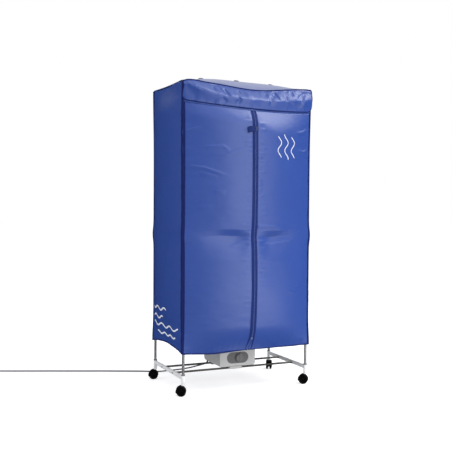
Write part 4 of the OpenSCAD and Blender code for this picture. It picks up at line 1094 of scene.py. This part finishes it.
def print_lines(name, strokes, width, cloth, ray_at, ray_way, ink, body):
    """White lines printed on a cloth: strokes are paths on a plane before it, cast onto the cloth."""
    tree = BVHTree.FromObject(cloth, bpy.context.evaluated_depsgraph_get())
    way = Vector(ray_way)
    points, faces, uv = [], [], []
    for stroke in strokes:
        ahead = unit(np.gradient(stroke, axis=0))
        side = np.stack([-ahead[:, 1], ahead[:, 0]], axis=1)
        first = len(points)
        faces += [tuple(first + k for k in quad) for quad in grid_faces(len(stroke), 3)]
        for i, middle in enumerate(stroke):
            ends = min(i, len(stroke) - 1 - i)
            half = width / 2 * min(1.0, 0.35 + 0.35 * ends)
            for share in (-1, 0, 1):
                u, v = middle + side[i] * half * share
                hit = tree.ray_cast(Vector(ray_at(u, v)), way)[0]
                if hit is None:
                    raise RuntimeError(f"{name}: no cloth under {u:.3f}, {v:.3f}")
                points.append(hit - 0.9 * MM * way)
                uv.append((u, v))
    dress(mesh_object(name, points, faces, uv), ink, body, thickness=0.25 * MM)


# The side's print: wavy lines, each as its height, its ends along Y, its swing, its wave's
# length and its stroke's width, in mm
SIDE_WAVES = [(394, -40, 168, 8, 104, 8), (348, 20, 168, 8, 104, 8), (309, -168, 168, 8, 112, 8),
              (268, -132, 118, 5, 84, 8)]
# The front's: three rising lines, as of warm air, each as its place, its foot and its head in mm
WARM_AIR = [(-42, -54, 50), (0, -64, 62), (42, -54, 50)]
WARM_AIR_AT = (0.180, 1.205)
WARM_SWING, WARM_LENGTH, WARM_WIDTH = 11 * MM, 78 * MM, 4.2 * MM


def make_prints(door_right, side_left, ink):
    cx, cz = WARM_AIR_AT
    rising = []
    for place, foot, head in WARM_AIR:
        z = np.linspace(foot, head, 90) * MM
        swing = WARM_SWING * np.sin(2 * np.pi * z / WARM_LENGTH)
        rising.append(np.stack([cx + place * MM + swing, cz + z], axis=1))
    print_lines("front_print", rising, WARM_WIDTH, door_right, lambda u, v: (u, -0.5, v),
                (0, 1, 0), ink, "right_door")
    for k, (height, near, far, swing, length, width) in enumerate(SIDE_WAVES):
        y = np.linspace(near, far, 140)
        z = height + swing * np.sin(2 * np.pi * (y - near) / length + 0.9 * k)
        print_lines(f"side_print_{k + 1}", [np.stack([y, z], axis=1) * MM], width * MM, side_left,
                    lambda u, v: (-0.6, u, v), (1, 0, 0), ink, "cabinet")


# ---------- the rigid pieces ----------

BODY_OF = {node: body for body, nodes in frame["record"]["behaviour"]["bodies"].items() for node in nodes}
SLOT_OF = {part["node"]: part["material_slot"] for part in frame["record"]["subparts"]}
MERGE = 0.004 * MM
FLAT_ANGLE, SHARP_ANGLE = math.radians(0.6), math.radians(35)
# How far a rigid node's edges are rounded, in mm; those of the others stay as they are
EDGES = {
    "base_side_left": 1.0, "base_side_right": 1.0, "heater_tub": 1.2, "heater_lid": 1.2,
    "control_panel": 0.5, "timer_knob": 0.8, "pole_collars": 0.5, "zip_slider": 0.3,
    "strain_relief": 0.4, "vent_caps": 0.5,
}
for corner in ("fl", "fr", "bl", "br"):
    EDGES.update({f"castor_hood_{corner}": 0.8, f"castor_wheels_{corner}": 1.2})


def refined(node, material, bevel):
    """A merged, softly bevelled copy of a CAD node, which it replaces."""
    mesh = frame["nodes"][node].data.copy()
    mesh.name = node + "_finish"
    work = bmesh.new()
    work.from_mesh(mesh)
    bmesh.ops.remove_doubles(work, verts=work.verts, dist=MERGE)
    bmesh.ops.dissolve_degenerate(work, edges=work.edges, dist=MERGE)
    bmesh.ops.dissolve_limit(work, angle_limit=FLAT_ANGLE, verts=work.verts, edges=work.edges)
    bmesh.ops.recalc_face_normals(work, faces=work.faces)
    for face in work.faces:
        face.smooth = True
    for edge in work.edges:
        edge.smooth = edge.calc_face_angle(math.pi) < SHARP_ANGLE
    work.to_mesh(mesh)
    work.free()
    piece = placed(mesh.name, mesh)
    soft = piece.modifiers.new("soft_edges", "BEVEL")
    soft.width = bevel
    soft.segments = 2
    soft.limit_method = "ANGLE"
    soft.angle_limit = SHARP_ANGLE
    return dress(piece, material, BODY_OF[node], (node,))


def finish_rigid(finishes):
    """Gives each rigid node the material for its name or its slot, and rounds its edges."""
    for node, piece in frame["nodes"].items():
        material = finishes.get(node, finishes.get(SLOT_OF[node]))
        if material is None:
            continue
        if node in EDGES:
            refined(node, material, EDGES[node] * MM)
        else:
            piece.data.materials.clear()
            piece.data.materials.append(material)


# ---------- the whole ----------

place_camera()
sheath = rubber_sheath("grey_pvc_sheath", "#3B3D41", "#45474B")
make_lead(sheath, moulded("black_pvc_plug", "#26272A", "#2D2E31", 0.45))
light_studio()

blue = nylon("blue_coated_nylon", "#284795", "#2C4C9B")
# The crown's paler blue is painted sheen: the grazing shine of the same blue nylon, put into its colour.
pale = nylon("pale_nylon_painted_crown_sheen", "#6E78A2", "#7680AA")
navy = woven_tape("navy_woven_tape", "#152763", "#1A2E6F")
# Dark tape for the real piping and bindings, and for the painted shade bands beside the corner seams
binding = woven_tape("dark_binding_and_painted_shade_tape", "#07195A", "#0A1F63")
ink = print_ink("white_print_ink", "#EEF1F8", "#DDE3F2")
stitch_thread = woven_tape("navy_thread", "#1B2A66", "#24357A", pitch=0.3 * MM)
coil_nylon = moulded("blue_nylon_coil", "#2C4390", "#34509E", 0.35)

left_door = make_door(-1, blue, navy)
right_door = make_door(1, blue, navy)
make_header(blue)
left_side = make_side(-1, blue, navy)
make_side(1, blue, navy)
make_back(blue, navy)
make_top(pale)
thread_tree = beads_tree("stitch_row", stitch_thread)
make_flap(blue, binding, thread_tree)
make_piping(binding)
make_corner_shade_bands(binding, thread_tree)
teeth_tree = beads_tree("coil_row", coil_nylon)
make_zip(navy, pale, teeth_tree, thread_tree, blue)
make_pull(navy)
make_prints(right_door, left_side, ink)

finish_rigid({
    "side_bar_plastic": moulded("white_abs_bars", "#F0F1F1", "#EAEBEB", 0.38),
    "dark_tube": plated_tube("grey_powder_coated_tube", "#55554F", "#5F5F59", roughness=0.38),
    "zinc_steel": plated_tube("zinc_plated_screws", "#B8BCC0", "#A9ADB2", roughness=0.35),
    "collar_plastic": moulded("grey_polypropylene_rings", "#777A7E", "#6E7175", 0.55),
    "bright_tube": plated_tube("plated_tube", "#C2C2C2", "#B6B6B6", roughness=0.42),
    "sleeve_plastic": moulded("grey_polypropylene", "#8B8F95", "#82868C", 0.55),
    "castor_plastic": moulded("black_nylon_hood", "#070707", "#0B0B0B", 0.28, specular=0.12),
    "tread": moulded("black_nylon_tread", "#080808", "#0D0D0D", 0.33, specular=0.12),
    "housing_plastic": moulded("white_abs_housing", "#C6C6C4", "#C0C0BE", 0.45, specular=0.3),
    "dark_plastic": moulded("dark_polypropylene", "#3A3D42", "#43464B", 0.5),
    "vent_caps": moulded("grey_blue_vent_plastic", "#6A7186", "#727990", 0.5),
    "panel_plastic": moulded("grey_abs_panel", "#6E6E6E", "#686868", 0.5, specular=0.3),
    "knob_plastic": moulded("grey_abs_knob", "#787878", "#717171", 0.45, specular=0.3),
    "duct_plastic": moulded("cream_polyamide", "#C9C7BE", "#C1BFB5", 0.5),
    "motor_metal": plated_tube("motor_shell", "#B5B8BA", "#A6A9AC", roughness=0.4),
    "element_frame": moulded("mica_board", "#C7B27A", "#BBA56B", 0.6),
    "element_metal": plated_tube("aluminium_fins", "#C5C8CA", "#B6B9BC", roughness=0.35),
    "slider_metal": plated_tube("enamelled_slider", "#4A5270", "#545D7C", roughness=0.35),
    "lead_sheath": sheath,
    "pin_metal": plated_tube("nickel_brass_pins", "#C8C2B0", "#BDB7A4", roughness=0.25),
})

view = bpy.context.scene.view_settings
view.view_transform = "Standard"
